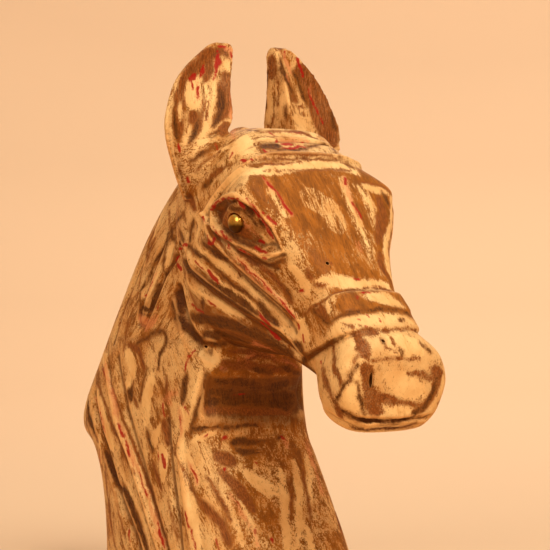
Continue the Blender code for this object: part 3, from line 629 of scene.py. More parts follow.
# The same on the face
FACE_WORK = (
    ("c", 4.0, 0.3, ((31.5, 92, 268.5), (20.5, 89, 272.5), (-3, 88.5, 273), (-26.5, 90.5, 270),
        (-45, 90.5, 267), (-48.5, 77.5, 266.5), (-51, 66.5, 262), (-51.5, 55.5, 255), (-51.5, 48.5, 248.5),
        (-51, 44, 242.5))),
    ("c", 5.6, 0.0, ((-49, 78, 266), (-50.5, 68, 260.5))),
    ("b", 0.8, -0.3, ((-42.5, 91.5, 267), (-14, 92, 268.5), (11, 91, 270), (28.5, 91, 269.5))),
    ("p", 1.5, 0.0, ((-46, 95, 263.5), (-43, 99.5, 258), (-39.5, 105, 250), (-34.5, 110, 241.5))),
    ("r", 0.9, 0.0, ((-45.5, 94.5, 264), (-42.5, 99, 258.5), (-39, 104.5, 250.5), (-34.5, 110, 241.5))),
    ("c", 0.8, 0.0, ((-43.5, 101, 255.5), (-41.5, 106, 247.5), (-39.5, 110, 240.5))),
    ("s", 8.1, 0.0, ((-17, 103.5, 252.5), (-6.5, 108, 245.5), (-4, 115, 234.5))),
    ("s", 3.7, 0.0, ((-49, 105.5, 241), (-43, 111.5, 231), (-38.5, 115, 220), (-35.5, 119, 212.5))),
    ("s", 2.8, 0.2, ((18, 95.5, 264), (14, 104.5, 250.5), (14.5, 112.5, 238.5), (14.5, 120, 226),
        (14.5, 126.5, 215.5))),
    ("c", 1.2, 0.1, ((17, 98.5, 259.5), (14, 106, 248), (14.5, 113, 237), (15, 122, 222.5))),
    ("p", 1.6, 0.0, ((19.5, 95, 264.5), (16, 104, 252), (17.5, 110, 242))),
    ("r", 0.6, 0.0, ((17, 106, 249), (18.5, 109, 244), (19.5, 112, 239))),
    ("r", 0.6, 0.0, ((19.5, 95, 264.5), (18, 98, 261))),
    ("p", 1.6, 0.0, ((8.5, 121, 224), (9, 123.5, 220))),
    ("s", 2.8, 0.0, ((25, 97, 261.5), (29.5, 103, 253), (28.5, 110, 241.5), (27.5, 115.5, 232.5))),
    ("c", 1.2, 0.0, ((27, 98.5, 260), (30, 104.5, 251), (29, 110.5, 241))),
    ("c", 2.1, 0.0, ((32, 98.5, 260), (40.5, 100, 257.5), (50, 99.5, 256.5))),
    ("b", 4.3, -0.3, ((40, 103.5, 252), (38, 109.5, 242), (24.5, 120.5, 224.5))),
    ("d", 1.9, -0.3, ((46.5, 101, 255.5), (46.5, 104.5, 249))),
    ("b", 0.9, -0.3, ((26.5, 96.5, 263), (38.5, 97, 262), (48.5, 97.5, 260), (54.5, 98.5, 255.5))),
    ("c", 2.1, 0.2, ((54.5, 99.5, 252.5), (44.5, 110, 236), (32, 119, 224), (27, 127.5, 209),
        (27, 131.5, 199.5))),
    ("b", 2.1, -0.4, ((23, 124, 218.5), (20.5, 130, 209), (24.5, 133.5, 199.5))),
    ("c", 3.7, 0.2, ((-29.5, 128.5, 200), (-17.5, 134.5, 201), (-3.5, 136.5, 199), (18.5, 136.5, 197.5))),
    ("r", 1.1, 0.0, ((-6.5, 134, 203), (-2, 134.5, 202.5))),
    ("r", 1.0, 0.0, ((-34.5, 117, 201), (-33, 121, 200))),
    ("r", 0.7, 0.0, ((-33.5, 116, 196), (-32.5, 120, 196))),
    ("b", 2.1, -0.4, ((-33, 122.5, 208.5), (-31.5, 124.5, 202.5))),
    ("b", 1.2, -0.3, ((-30.5, 127, 199), (-27, 132, 198.5))),
    ("r", 0.7, 0.0, ((-51.5, 103.5, 242), (-50.5, 104.5, 241))),
    ("r", 0.8, 0.0, ((-49, 105.5, 239), (-46, 108.5, 235))),
    ("c", 3.1, 0.0, ((-38, 113, 210), (-35, 118, 204), (-31.5, 122, 194))),
    ("d", 1.6, -0.4, ((-36, 106, 196), (-34, 108.5, 191))),
    ("b", 1.4, 0.0, ((-24, 127, 212.5), (-19.5, 128.5, 211.5))),
)

# The same on the forelock and the poll
POLL_WORK = (
    ("c", 6.2, 0.0, ((-34.5, 60, 288.5), (-36.5, 70, 281))),
    ("c", 3.1, 0.0, ((-38.5, 58, 284), (-42.5, 59.5, 276.5))),
    ("r", 1.5, 0.0, ((-42.5, 71, 275), (-43, 82.5, 273.5))),
    ("r", 1.2, 0.0, ((-42.5, 58.5, 276.5), (-41, 59.5, 279.5))),
    ("d", 0.8, -0.5, ((-22, 51.5, 295), (-23.5, 63, 293.5))),
    ("d", 3.7, -0.6, ((-30.5, 74, 283), (-19, 77, 284))),
    ("c", 1.7, 0.3, ((-26.5, 68.5, 288.5), (-15, 70, 288))),
    ("c", 2.2, 0.5, ((-12, 65.5, 293), (3.5, 65.5, 293), (16.5, 69.5, 289.5), (29.5, 68.5, 285.5))),
    ("b", 1.9, 0.0, ((-4, 64, 294.5), (9.5, 65, 294), (19.5, 67, 291))),
    ("r", 0.7, 0.0, ((-17, 64.5, 294), (-14.5, 69, 290), (-15.5, 75.5, 285.5))),
    ("r", 0.6, 0.0, ((0.5, 64.5, 294), (7.5, 65.5, 293))),
    ("p", 1.2, 0.0, ((-11.5, 70.5, 287), (10, 70, 288))),
    ("r", 0.8, 0.0, ((-16.5, 79, 282.5), (-9.5, 78.5, 283), (-1.5, 77, 284.5), (3.5, 78, 283.5))),
    ("r", 1.4, 0.0, ((-15.5, 75.5, 285.5), (-7, 75.5, 285.5))),
    ("r", 1.2, 0.0, ((5.5, 70, 287.5), (6.5, 74.5, 286.5))),
    ("d", 0.9, -0.6, ((-20.5, 80, 281.5), (-3.5, 79.5, 282.5), (11, 76, 285), (24.5, 69.5, 286.5),
        (26.5, 75, 284), (24, 85, 278.5))),
    ("b", 2.1, 0.3, ((-35, 81.5, 278), (-16, 85, 279.5), (16, 85, 279.5))),
    ("c", 1.0, 0.0, ((-32.5, 84.5, 275.5), (-14.5, 85, 277), (12.5, 85, 277.5))),
    ("r", 0.7, 0.0, ((-30.5, 77.5, 281), (-29.5, 82.5, 279.5))),
    ("b", 1.2, -0.4, ((-39.5, 84, 274.5), (-9, 86, 276), (23.5, 85, 276.5))),
    ("b", 1.4, -0.5, ((-44.5, 82, 270.5), (-29.5, 88.5, 272), (-10, 87.5, 274))),
    ("d", 1.4, -0.4, ((27, 87, 274), (29, 88.5, 272))),
    ("b", 0.9, -0.4, ((-21, 63.5, 294), (0.5, 64.5, 294), (14.5, 67, 291.5), (22, 69.5, 288))),
    ("b", 1.9, -0.4, ((-45.5, 37, 261.5), (-45.5, 46.5, 267), (-45, 54.5, 270.5))),
    ("d", 1.6, -0.4, ((-45.5, 35, 259.5), (-46, 44, 263))),
    ("b", 1.2, -0.4, ((-44.5, 63.5, 272.5), (-45, 56.5, 270.5), (-46, 49.5, 266))),
)

# The same on the right ear. Its first two brown strokes run along the outer rim and paint the shade
# there as well as brown
NEAR_EAR_WORK = (
    ("b", 1.9, 0.0, ((-31.5, 25.5, 348), (-43, 26.5, 341.5), (-52, 26, 331.5), (-59, 26.5, 318.5),
        (-63, 28, 305.5), (-63.5, 28, 294.5))),
    ("b", 4.3, 0.0, ((-24, 26, 347), (-36, 25.5, 341), (-46, 25, 332), (-54.5, 25.5, 320), (-60.5, 27, 306),
        (-61.5, 27.5, 292))),
    ("b", 5.0, -0.3, ((-24.5, 30.5, 331), (-26.5, 33, 315), (-30, 34, 303.5))),
    ("b", 3.1, 0.0, ((-31.5, 25.5, 340), (-35, 25.5, 332.5), (-36.5, 26, 326))),
    ("b", 3.1, -0.2, ((-53, 25.5, 314), (-57, 26.5, 301), (-58.5, 27, 288.5))),
    ("c", 6.2, 0.2, ((-44, 24.5, 327), (-46.5, 25, 317.5), (-45, 25.5, 310))),
    ("c", 2.8, 0.3, ((-36.5, 26, 325), (-36.5, 28, 311.5), (-40.5, 30.5, 295.5), (-46.5, 32, 285))),
    ("c", 1.9, 0.3, ((-31, 28, 325), (-34, 29, 314.5), (-36.5, 30, 303))),
    ("c", 2.6, 0.2, ((-56.5, 26, 312), (-57, 26.5, 301))),
    ("b", 0.9, -0.5, ((-38.5, 25.5, 326), (-39.5, 27, 311.5), (-43, 28.5, 296.5))),
    ("b", 0.9, -0.5, ((-34, 27, 324), (-35.5, 28, 314.5), (-39, 29, 302))),
    ("r", 2.1, 0.0, ((-48, 25, 328), (-43.5, 24.5, 330))),
    ("r", 0.9, 0.0, ((-46.5, 24.5, 327.5), (-45.5, 24.5, 322))),
    ("r", 1.6, 0.0, ((-40.5, 25, 329.5), (-37.5, 25, 336))),
    ("p", 1.1, 0.0, ((-42, 24.5, 326), (-44, 25.5, 313))),
    ("r", 0.6, 0.0, ((-42, 25, 324.5), (-43, 25.5, 314.5))),
    ("r", 1.4, 0.0, ((-31.5, 27.5, 328), (-28.5, 27, 338.5), (-27, 25.5, 346))),
    ("r", 1.7, 0.0, ((-27.5, 26.5, 341.5), (-27.5, 27.5, 336.5))),
    ("p", 3.1, 0.0, ((-20.5, 27.5, 349), (-20, 30, 342))),
    ("r", 1.2, 0.0, ((-26, 25.5, 349.5), (-22, 26.5, 349))),
    ("r", 0.7, 0.0, ((-19.5, 28.5, 346), (-19.5, 29.5, 342.5))),
    ("d", 1.6, -0.3, ((-23.5, 26.5, 346.5), (-22, 28.5, 342.5))),
    ("c", 1.9, 0.2, ((-22.5, 29, 340), (-23, 31, 332))),
    ("d", 2.0, -0.5, ((-28, 30.5, 321), (-29, 32, 312), (-35, 32.5, 298))),
    ("d", 1.5, -0.6, ((-43, 26.5, 306), (-44.5, 27.5, 298), (-50, 28.5, 287.5))),
    ("b", 3.7, -0.5, ((-45, 26, 306), (-48.5, 26.5, 300.5))),
    ("c", 2.2, 0.4, ((-49.5, 27, 295.5), (-52, 27, 290), (-54, 27, 286.5))),
    ("c", 1.3, 0.3, ((-37, 33, 295), (-31.5, 34, 300.5))),
    ("b", 2.8, -0.3, ((-29.5, 36, 299.5), (-33.5, 39, 291.5))),
    ("c", 1.0, 0.0, ((-28.5, 35, 302), (-27, 36.5, 301.5))),
    ("d", 1.4, -0.5, ((-39, 34.5, 291), (-34, 35.5, 295))),
    ("c", 1.5, 0.3, ((-48, 31, 282), (-43.5, 33.5, 287.5), (-36.5, 35.5, 293))),
    ("c", 1.2, 0.3, ((-45.5, 36, 272.5), (-42, 42, 278.5), (-40, 51.5, 283))),
    ("c", 1.1, 0.3, ((-50, 29, 278.5), (-47.5, 31.5, 282.5))),
    ("d", 1.0, -0.4, ((-50, 28.5, 276), (-46, 34, 279.5), (-40, 39.5, 285))),
    ("p", 1.5, 0.2, ((-23, 33.5, 320), (-24, 36.5, 305), (-18, 28.5, 296.5), (-35.5, 54.5, 288.5))),
    ("d", 1.6, -0.4, ((-62.5, 27.5, 306), (-61.5, 27.5, 297), (-59.5, 27, 290))),
    ("c", 0.7, 0.2, ((-65.5, 29, 295.5), (-64.5, 29, 285), (-58, 25, 271.5))),
    ("r", 1.3, 0.0, ((-58.5, 26.5, 286), (-56, 26, 281.5))),
    ("r", 0.9, 0.0, ((-49.5, 25, 266), (-48.5, 24, 263))),
    ("r", 0.7, 0.0, ((-38.5, 40, 287), (-39.5, 43, 283))),
    ("b", 1.0, -0.4, ((-47.5, 30.5, 269), (-44.5, 37, 276), (-41, 47, 281))),
    ("b", 0.7, -0.4, ((-57, 24.5, 273.5), (-52.5, 22.5, 265.5))),
)

# The same on the left ear
FAR_EAR_WORK = (
    ("b", 8.7, 0.0, ((39.5, 25.5, 339.5), (52, 25, 323), (60, 27, 304), (64, 28.5, 292.5))),
    ("b", 4.3, 0.0, ((17, 25, 345), (19.5, 22, 332.5))),
    ("s", 5.0, 0.0, ((20, 21.5, 327), (22, 22.5, 305))),
    ("c", 3.1, 0.0, ((21, 26, 325.5), (22, 29, 316.5), (22.5, 30.5, 306))),
    ("c", 3.1, 0.0, ((20, 16.5, 323.5), (21.5, 17, 304))),
    ("b", 1.0, 0.0, ((19.5, 26, 334.5), (21, 27, 324.5), (21.5, 25, 315.5))),
    ("d", 0.9, 0.0, ((18, 19, 336.5), (21, 14, 325), (21, 13.5, 313.5))),
    ("d", 1.4, -0.5, ((22, 31.5, 312.5), (22.5, 32, 306))),
    ("c", 1.1, 0.4, ((17, 29, 347), (21, 31, 329), (23, 35, 315.5), (32.5, 31, 307))),
    ("c", 4.7, 0.0, ((27, 34.5, 306), (39, 29, 301), (18.5, 65.5, 292.5))),
    ("d", 2.5, -0.5, ((20, 29.5, 343.5), (25, 30.5, 330.5), (34, 28, 317.5))),
    ("p", 2.0, 0.3, ((22.5, 26, 350.5), (27.5, 26, 343), (31.5, 26.5, 336))),
    ("r", 0.7, 0.0, ((26.5, 25.5, 349.5), (25.5, 26.5, 344.5))),
    ("c", 1.2, 0.0, ((17.5, 28, 349.5), (23, 27, 347))),
    ("r", 1.1, 0.3, ((36.5, 26, 346), (40.5, 25.5, 339), (44, 25, 332))),
    ("b", 2.1, 0.0, ((43.5, 25, 332), (49.5, 24.5, 322), (54.5, 25.5, 310.5))),
    ("p", 0.6, 0.0, ((44.5, 25, 331), (49.5, 24.5, 322))),
    ("r", 0.6, 0.0, ((47, 24.5, 326), (54.5, 25.5, 312), (59, 26.5, 304))),
    ("d", 1.4, -0.4, ((33.5, 25.5, 337), (40, 25, 327), (45, 25, 316.5))),
    ("b", 3.1, 0.0, ((29, 30, 320.5), (36.5, 27.5, 316), (42, 26.5, 310))),
    ("c", 1.2, 0.5, ((29, 31.5, 315.5), (41, 26, 316.5))),
    ("c", 1.2, 0.5, ((32.5, 30, 311.5), (43.5, 26, 312))),
    ("c", 1.2, 0.5, ((36, 29, 308), (45, 26, 307.5))),
    ("p", 1.4, 0.0, ((26, 29, 334), (28.5, 28.5, 329))),
    ("d", 0.7, 0.0, ((64, 28, 312), (66, 29, 300.5))),
    ("d", 1.1, 0.0, ((19.5, 26, 352), (24, 24.5, 352))),
    ("b", 1.2, 0.0, ((21.5, 20, 308), (22, 18.5, 303))),
)

# The same on the noseband and muzzle
MUZZLE_WORK = (
    ("b", 3.4, -0.2, ((-31, 127.5, 183), (-30.5, 135.5, 182.5), (-30.5, 139.5, 178.5))),
    ("w", 5.0, 0.0, ((-27, 144.5, 186.5), (-20, 148.5, 188), (-7, 151.5, 186))),
    ("c", 2.2, 0.2, ((-29.5, 136, 188.5), (-30, 140.5, 182))),
    ("c", 4.0, 0.2, ((-5.5, 146, 192.5), (8.5, 148, 190), (17, 151, 185.5))),
    ("w", 1.5, 0.0, ((-19, 151, 185), (-6, 150.5, 187), (8, 152, 185))),
    ("r", 1.3, 0.0, ((-8.5, 144, 194.5), (-3, 144, 194.5))),
    ("r", 1.1, 0.0, ((-15, 146, 192), (-14.5, 147, 190.5))),
    ("d", 0.8, -0.6, ((-31, 125.5, 184), (-31, 132.5, 180), (-31, 139.5, 176.5), (-26.5, 148.5, 181.5),
        (-14, 152, 183.5), (1.5, 152, 184.5), (13, 152.5, 183.5), (23.5, 152.5, 179.5))),
    ("b", 0.9, -0.5, ((-30.5, 116, 180.5), (-30.5, 124.5, 185), (-29, 135.5, 190), (-21, 138.5, 194.5),
        (-5, 138, 196.5), (14, 138, 196.5), (22, 140.5, 194.5))),
    ("c", 3.7, 0.3, ((-31, 143.5, 171), (-27.5, 151, 177.5), (-13, 156.5, 178.5), (9, 156, 179.5),
        (18.5, 157, 177))),
    ("r", 1.0, 0.0, ((-18.5, 158.5, 175), (-17, 159.5, 174))),
    ("r", 0.7, 0.0, ((-6.5, 156.5, 179), (-7, 157.5, 178))),
    ("r", 0.6, 0.0, ((-13.5, 154.5, 181), (-12.5, 155, 180))),
    ("r", 0.6, 0.0, ((-21, 154, 179), (-20, 155, 178.5))),
    ("d", 0.7, -0.3, ((9.5, 156.5, 178.5), (13.5, 156.5, 178.5))),
    ("b", 1.1, -0.6, ((-28.5, 150.5, 165), (-26, 154.5, 169.5), (-21.5, 158.5, 173), (-6, 161, 172),
        (7, 160.5, 173), (21.5, 158.5, 172))),
    ("b", 1.6, 0.0, ((-28, 150.5, 176), (-25.5, 155, 174.5))),
    ("c", 8.1, 0.0, ((-9, 168, 164), (6, 168, 164), (14.5, 169.5, 160.5))),
    ("d", 0.6, 0.0, ((-1.5, 169.5, 161), (0.5, 170.5, 158.5))),
    ("b", 0.6, 0.0, ((-3.5, 165, 168), (-4, 168.5, 163.5))),
    ("b", 0.7, 0.0, ((-11.5, 169, 162.5), (-4.5, 170, 160))),
    ("b", 0.6, -0.3, ((-23, 170, 156), (-6, 170.5, 156), (13.5, 170.5, 156))),
    ("d", 0.7, -0.2, ((17, 167.5, 164), (20.5, 169, 161), (23.5, 169.5, 159.5))),
    ("b", 4.0, 0.0, ((-26.5, 154.5, 168), (-22, 158.5, 170.5), (-12.5, 161.5, 171))),
    ("b", 5.0, 0.0, ((-25, 158, 168), (-26.5, 165, 164), (-26.5, 169, 158.5))),
    ("b", 2.5, 0.0, ((-30, 155, 163.5), (-28.5, 160, 165), (-28, 165, 162.5))),
    ("b", 1.0, -0.3, ((-21, 158.5, 172), (-5.5, 160.5, 172.5), (21.5, 158.5, 171.5))),
    ("c", 5.9, 0.0, ((-30.5, 148, 169), (-32, 158, 161.5), (-37.5, 162, 151.5))),
    ("b", 2.4, -0.6, ((-28, 140.5, 163), (-34.5, 149.5, 153), (-40, 163, 142))),
    ("b", 2.5, -0.3, ((-30.5, 134, 150), (-38.5, 150.5, 138), (-38.5, 156, 130.5))),
    ("c", 1.0, 0.3, ((-34, 145.5, 150.5), (-39, 154.5, 142))),
    ("r", 1.0, 0.0, ((-28.5, 130, 153.5), (-30.5, 132.5, 149.5))),
    ("b", 1.4, 0.5, ((-35, 167, 152.5), (-32.5, 166.5, 157.5), (-27.5, 168, 160), (-24.5, 170, 156.5))),
    ("c", 1.6, 0.3, ((-31, 168.5, 154), (-28, 169.5, 155.5))),
    ("d", 1.3, -1.3, ((-32.5, 168.5, 152.5), (-35.5, 167.5, 149), (-37.5, 166.5, 144.5),
        (-39.5, 164.5, 143), (-39.5, 162.5, 137.5), (-38.5, 154.5, 131))),
    ("c", 5.6, 0.4, ((-35.5, 167, 140.5), (-35.5, 165, 133), (-32, 166, 127.5))),
    ("c", 2.8, 0.4, ((-32, 169, 149), (-35.5, 167.5, 143))),
    ("b", 4.3, -0.3, ((-27.5, 169.5, 153.5), (-26, 169, 144.5), (-24, 168.5, 136))),
    ("b", 6.8, -0.3, ((-23.5, 168.5, 137.5), (-20.5, 168, 131.5), (-18.5, 168, 125.5))),
    ("b", 3.1, 0.0, ((-15.5, 168.5, 134.5), (-7, 168.5, 131.5), (3, 168.5, 129.5))),
    ("b", 2.5, 0.0, ((-20, 168, 127), (-12.5, 168, 125.5))),
    ("d", 1.2, -0.6, ((-33.5, 168, 142), (-29.5, 167.5, 133.5), (-26, 167, 124.5))),
    ("b", 2.4, -0.3, ((-20, 168, 133), (-6.5, 168.5, 131), (15.5, 168, 128))),
    ("c", 7.4, 0.0, ((-10, 169.5, 146), (3, 169, 140), (15.5, 168.5, 136.5))),
    ("c", 3.1, 0.0, ((-9.5, 168, 126), (9.5, 168, 125))),
    ("b", 4.7, -0.3, ((23.5, 170, 150), (29.5, 169, 145), (27.5, 168, 138))),
    ("b", 2.5, 0.0, ((9.5, 170, 148), (21, 169.5, 145), (29.5, 168.5, 142.5))),
    ("b", 2.9, -0.3, ((28.5, 169, 145), (28, 168, 136.5), (20.5, 168, 128.5), (11, 168, 123.5))),
    ("b", 1.5, 0.0, ((5, 170, 147), (16, 169.5, 146), (26, 169, 144))),
    ("s", 0.9, 0.0, ((1.5, 170, 148.5), (14, 170, 148), (25.5, 169.5, 147))),
    ("s", 0.7, 0.0, ((6.5, 169.5, 144.5), (18, 169.5, 143.5), (26.5, 169, 141.5))),
    ("d", 1.6, -0.4, ((28, 169, 142.5), (26, 168, 136), (20, 168, 128), (11, 168, 123))),
    ("d", 1.5, -1.3, ((-38, 155, 128.5), (-33.5, 162, 124), (-24, 164, 121), (-5.5, 165.5, 119.5),
        (9, 166, 121), (16.5, 168, 124.5))),
    ("c", 1.0, 0.3, ((-33.5, 159, 122), (-24.5, 164.5, 118), (3, 164.5, 117))),
    ("d", 1.4, -1.0, ((-27.5, 157, 116.5), (-14.5, 162.5, 115), (4.5, 162, 115), (14.5, 165, 117))),
    ("b", 2.5, -0.2, ((-38.5, 156, 130.5), (-34.5, 156.5, 122.5))),
    ("c", 1.9, 0.0, ((34, 168, 145.5), (33, 166.5, 133.5), (24.5, 167.5, 125))),
    ("d", 1.0, -0.3, ((-23.5, 169.5, 147.5), (-23.5, 169.5, 144.5), (-22, 169, 140.5))),
    ("d", 0.8, 0.0, ((-11, 165.5, 167), (-11.5, 167, 165.5))),
)

# The same on the front of the neck. The dark strokes across it just under the chin paint the jaw's
# shadow there as well as dark stain
THROAT_WORK = (
    ("s", 2.8, 0.0, ((-36.5, 21.5, 157.5), (-34, 31, 151.5), (-26.5, 34, 147.5))),
    ("b", 3.1, 0.0, ((-29.5, 33.5, 149), (-8, 34, 147), (20.5, 34, 143.5))),
    ("s", 1.2, 0.0, ((-32.5, 31.5, 152.5), (-19, 34, 148.5), (-3, 34, 145))),
    ("d", 1.9, 0.0, ((-4, 34, 145), (3.5, 34, 143.5), (10, 34, 141.5))),
    ("d", 1.9, 0.0, ((16.5, 34, 146.5), (24.5, 34, 143.5), (34.5, 31.5, 140.5))),
    ("s", 1.2, 0.0, ((-16.5, 34.5, 156), (1.5, 34.5, 150.5), (19.5, 34, 146.5))),
    ("d", 2.8, 0.0, ((-34, 31, 138.5), (-14.5, 32.5, 136.5), (9, 31, 132.5), (26.5, 32, 135.5))),
    ("d", 4.0, 0.0, ((-34.5, 28.5, 131.5), (-13, 30, 128.5), (9.5, 30.5, 125.5), (30.5, 29.5, 126.5))),
    ("d", 3.4, 0.0, ((-37.5, 28, 125), (-18, 30.5, 124), (-0.5, 30.5, 125.5))),
    ("d", 3.7, 0.0, ((4.5, 30.5, 125), (16.5, 31.5, 121), (30, 31, 121.5))),
    ("b", 3.1, 0.0, ((-40.5, 28, 119.5), (-22.5, 32.5, 119.5), (2.5, 33, 118), (24.5, 34, 116))),
    ("s", 0.8, 0.0, ((-31, 30, 123.5), (-22.5, 30.5, 129.5), (-11.5, 31.5, 134.5))),
    ("s", 0.7, 0.0, ((-35.5, 27.5, 128), (-29.5, 31, 135), (-22, 33, 138.5))),
    ("s", 0.8, 0.0, ((-17, 31.5, 121.5), (-5, 30, 127.5), (4.5, 30.5, 130.5))),
    ("s", 0.7, 0.0, ((4.5, 30, 127.5), (15.5, 30.5, 131), (29.5, 30, 131.5))),
    ("s", 0.7, 0.0, ((-9.5, 32.5, 120), (4, 31, 122.5), (19.5, 30, 126))),
    ("s", 0.7, 0.0, ((-27, 30, 131), (-16.5, 31, 132), (-3.5, 30.5, 129.5))),
    ("r", 0.6, 0.0, ((-17.5, 30, 128), (-13, 30.5, 130.5))),
    ("s", 3.1, 0.0, ((-42, 27, 114), (-27.5, 34.5, 114.5), (-9, 35, 113), (21.5, 35.5, 111))),
    ("s", 2.5, 0.0, ((36, 30, 138), (38, 28.5, 122), (32.5, 35.5, 106))),
    ("d", 1.6, -0.8, ((-38.5, 29, 141.5), (-41, 26.5, 130), (-42.5, 24, 119.5), (-44, 21.5, 110.5),
        (-45, 21, 102.5))),
    ("c", 2.5, 0.4, ((-40.5, 25.5, 144), (-42, 23, 132.5), (-43.5, 20.5, 120), (-45, 18, 108.5))),
    ("d", 0.8, -1.0, ((-43, 25.5, 110), (-37, 33, 109.5), (-23.5, 35.5, 109), (-12.5, 35.5, 110),
        (-3, 36, 109))),
    ("d", 1.9, -0.8, ((-44.5, 21, 108.5), (-40, 30.5, 109.5))),
    ("c", 2.0, 0.4, ((-45, 23, 100.5), (-42, 30, 103.5), (-35, 34.5, 106.5))),
    ("s", 2.5, 0.0, ((-34, 35, 106), (-17.5, 36.5, 106), (4.5, 37, 104), (23.5, 37.5, 101.5))),
    ("s", 1.9, 0.0, ((-45.5, 27.5, 94), (-40.5, 34, 97.5), (-30.5, 37, 101))),
    ("r", 1.1, 0.0, ((-41.5, 30.5, 103), (-40, 32, 104.5))),
    ("r", 1.4, 0.0, ((-32, 36.5, 102), (-28, 36.5, 104))),
    ("d", 1.2, -0.4, ((11.5, 38, 100.5), (16, 37.5, 101.5))),
    ("r", 1.2, 0.0, ((15, 37.5, 101.5), (17.5, 38.5, 98.5))),
    ("p", 1.9, 0.0, ((16, 38.5, 98.5), (18.5, 40.5, 94.5))),
    ("d", 2.5, 0.0, ((-25, 38, 99.5), (-15.5, 38, 100), (-6.5, 38.5, 98.5))),
    ("d", 2.5, 0.0, ((-22, 40.5, 94.5), (-15, 41.5, 93), (-6.5, 40.5, 95))),
    ("b", 5.0, 0.0, ((-38, 39, 92), (-27.5, 43.5, 88))),
    ("b", 4.3, 0.0, ((-37.5, 44.5, 82.5), (-29.5, 52.5, 70), (-23, 58, 59))),
    ("s", 3.1, 0.0, ((-4, 41.5, 93), (-1.5, 46.5, 83), (-0.5, 51.5, 73))),
    ("s", 2.5, 0.0, ((-28.5, 38.5, 97.5), (-32, 43, 88), (-35.5, 45.5, 81))),
    ("c", 3.7, 0.0, ((-22.5, 47, 81.5), (-13, 51, 74), (-4, 56, 64))),
    ("s", 4.3, 0.0, ((-25.5, 45, 85.5), (-13.5, 47.5, 81), (-4, 52, 72))),
    ("s", 3.7, 0.0, ((-45, 31.5, 90.5), (-43, 39, 85))),
    ("c", 2.9, 0.3, ((6, 47.5, 81.5), (2, 56.5, 63.5), (-3, 65, 46), (-6.5, 70.5, 34))),
    ("c", 2.2, 0.3, ((19.5, 45, 85.5), (15.5, 54, 68.5), (9, 62.5, 51), (2, 70.5, 33.5))),
    ("b", 1.1, -0.5, ((10.5, 50.5, 75), (8, 56.5, 63), (3, 62.5, 51.5))),
    ("b", 1.2, -0.5, ((24, 47.5, 80), (21.5, 55.5, 65), (18.5, 63, 50))),
    ("c", 1.4, 0.3, ((31, 42.5, 89.5), (28, 50, 75), (23.5, 57, 62))),
    ("c", 3.1, 0.3, ((13, 64.5, 47), (13.5, 71, 32.5))),
    ("p", 1.7, 0.3, ((35.5, 37, 98), (35.5, 44, 84.5), (36, 53.5, 65))),
    ("s", 1.2, 0.0, ((35, 50, 73.5), (37.5, 57, 58), (40, 63.5, 42.5))),
    ("c", 1.0, 0.3, ((-44.5, 40, 80), (-42.5, 47.5, 70.5), (-39.5, 55, 60))),
    ("c", 1.4, 0.2, ((-44, 42.5, 76.5), (-41, 50.5, 67), (-38, 59, 53), (-38, 65.5, 39.5))),
    ("c", 1.0, 0.2, ((-31, 54.5, 65.5), (-28, 60.5, 53.5), (-27.5, 68, 39))),
    ("p", 1.0, 0.3, ((-36.5, 51.5, 69.5), (-33, 57, 59.5), (-28.5, 62.5, 50), (-27, 68, 38))),
    ("b", 1.6, -0.5, ((-45.5, 38, 81), (-43.5, 46, 72), (-41.5, 53.5, 61), (-40, 58, 54))),
    ("r", 0.7, 0.0, ((-34, 54, 65.5), (-32, 55.5, 62.5))),
    ("r", 0.7, 0.0, ((-26.5, 64, 47.5), (-27, 65, 45))),
    ("r", 1.2, 0.0, ((-17, 66, 43.5), (-16, 68, 39.5))),
    ("r", 1.2, 0.0, ((-35, 44, 85.5), (-35, 45, 83))),
    ("r", 1.3, 0.0, ((-12.5, 44, 88), (-10, 45.5, 85))),
    ("r", 0.9, 0.0, ((-49.5, 54.5, 43.5), (-50, 58, 36.5))),
    ("s", 4.3, 0.0, ((-49.5, 50.5, 49), (-49.5, 57.5, 39))),
)

# The order in which the finishes cover one another, and the cream that is left of a scuffed stroke.
# Reach is how far from its edge a stroke is felt, and no stroke is thinner than the thinnest. A cut
# or ridge below the deep one's height keeps only a part of it, because the wood is worn
FINISHES = "wcbdpr"
SCUFFED = -1.2
REACH = 4.0
THINNEST = 0.9
DEEP = 0.95
SHALLOW = 0.55
TIP_WIDTH = 0.45
TINY = 1e-9

# How far and at what length the hand wavers, slowly and quickly, alike in every run
HAND_SEED = 12
noise.seed_set(HAND_SEED)
SLOW_WAVER, SLOW_LENGTH = 1.3, 7.0
QUICK_WAVER, QUICK_LENGTH = 0.7, 2.6


def along_skin(surface, path, step=2.5):
    """A smooth curve through a path's points, drawn down onto the wood every few millimetres."""
    corners = [Vector(point) for point in path]
    ends = [2 * corners[0] - corners[1], *corners, 2 * corners[-1] - corners[-2]]
    line = []
    for i in range(1, len(ends) - 2):
        count = max(1, round((ends[i + 1] - ends[i]).length / step))
        line += [on_curve(*ends[i - 1:i + 3], k / count) for k in range(count)]
    line.append(corners[-1])
    down = []
    for x, back, up in line:
        spot = surface.find_nearest(Vector((x, -back, up)) * MM)[0]
        down.append(spot / MM)
    return np.array([tuple(spot) for spot in down])


def inside_stroke(points, line, half_width):
    """How far inside a stroke each point lies, in millimetres. A stroke tapers to both its ends."""
    steps = line[1:] - line[:-1]
    lengths = np.linalg.norm(steps, axis=1)
    run = np.concatenate([[0.0], np.cumsum(lengths)])
    best = np.full(len(points), -np.inf)
    for start, step, length, before in zip(line, steps, lengths, run):
        share = np.clip(dot(points - start, step) / max(length**2, TINY), 0.0, 1.0)
        gap = np.linalg.norm(points - start - share[:, None] * step, axis=1)
        at = (before + share * length) / max(run[-1], TINY)
        taper = np.clip(4 * at * (1 - at), 0.0, 1.0) ** 0.5
        width = half_width * (TIP_WIDTH + (1 - TIP_WIDTH) * taper)
        width = np.maximum(width, THINNEST)
        best = np.maximum(best, width - gap)
    return best


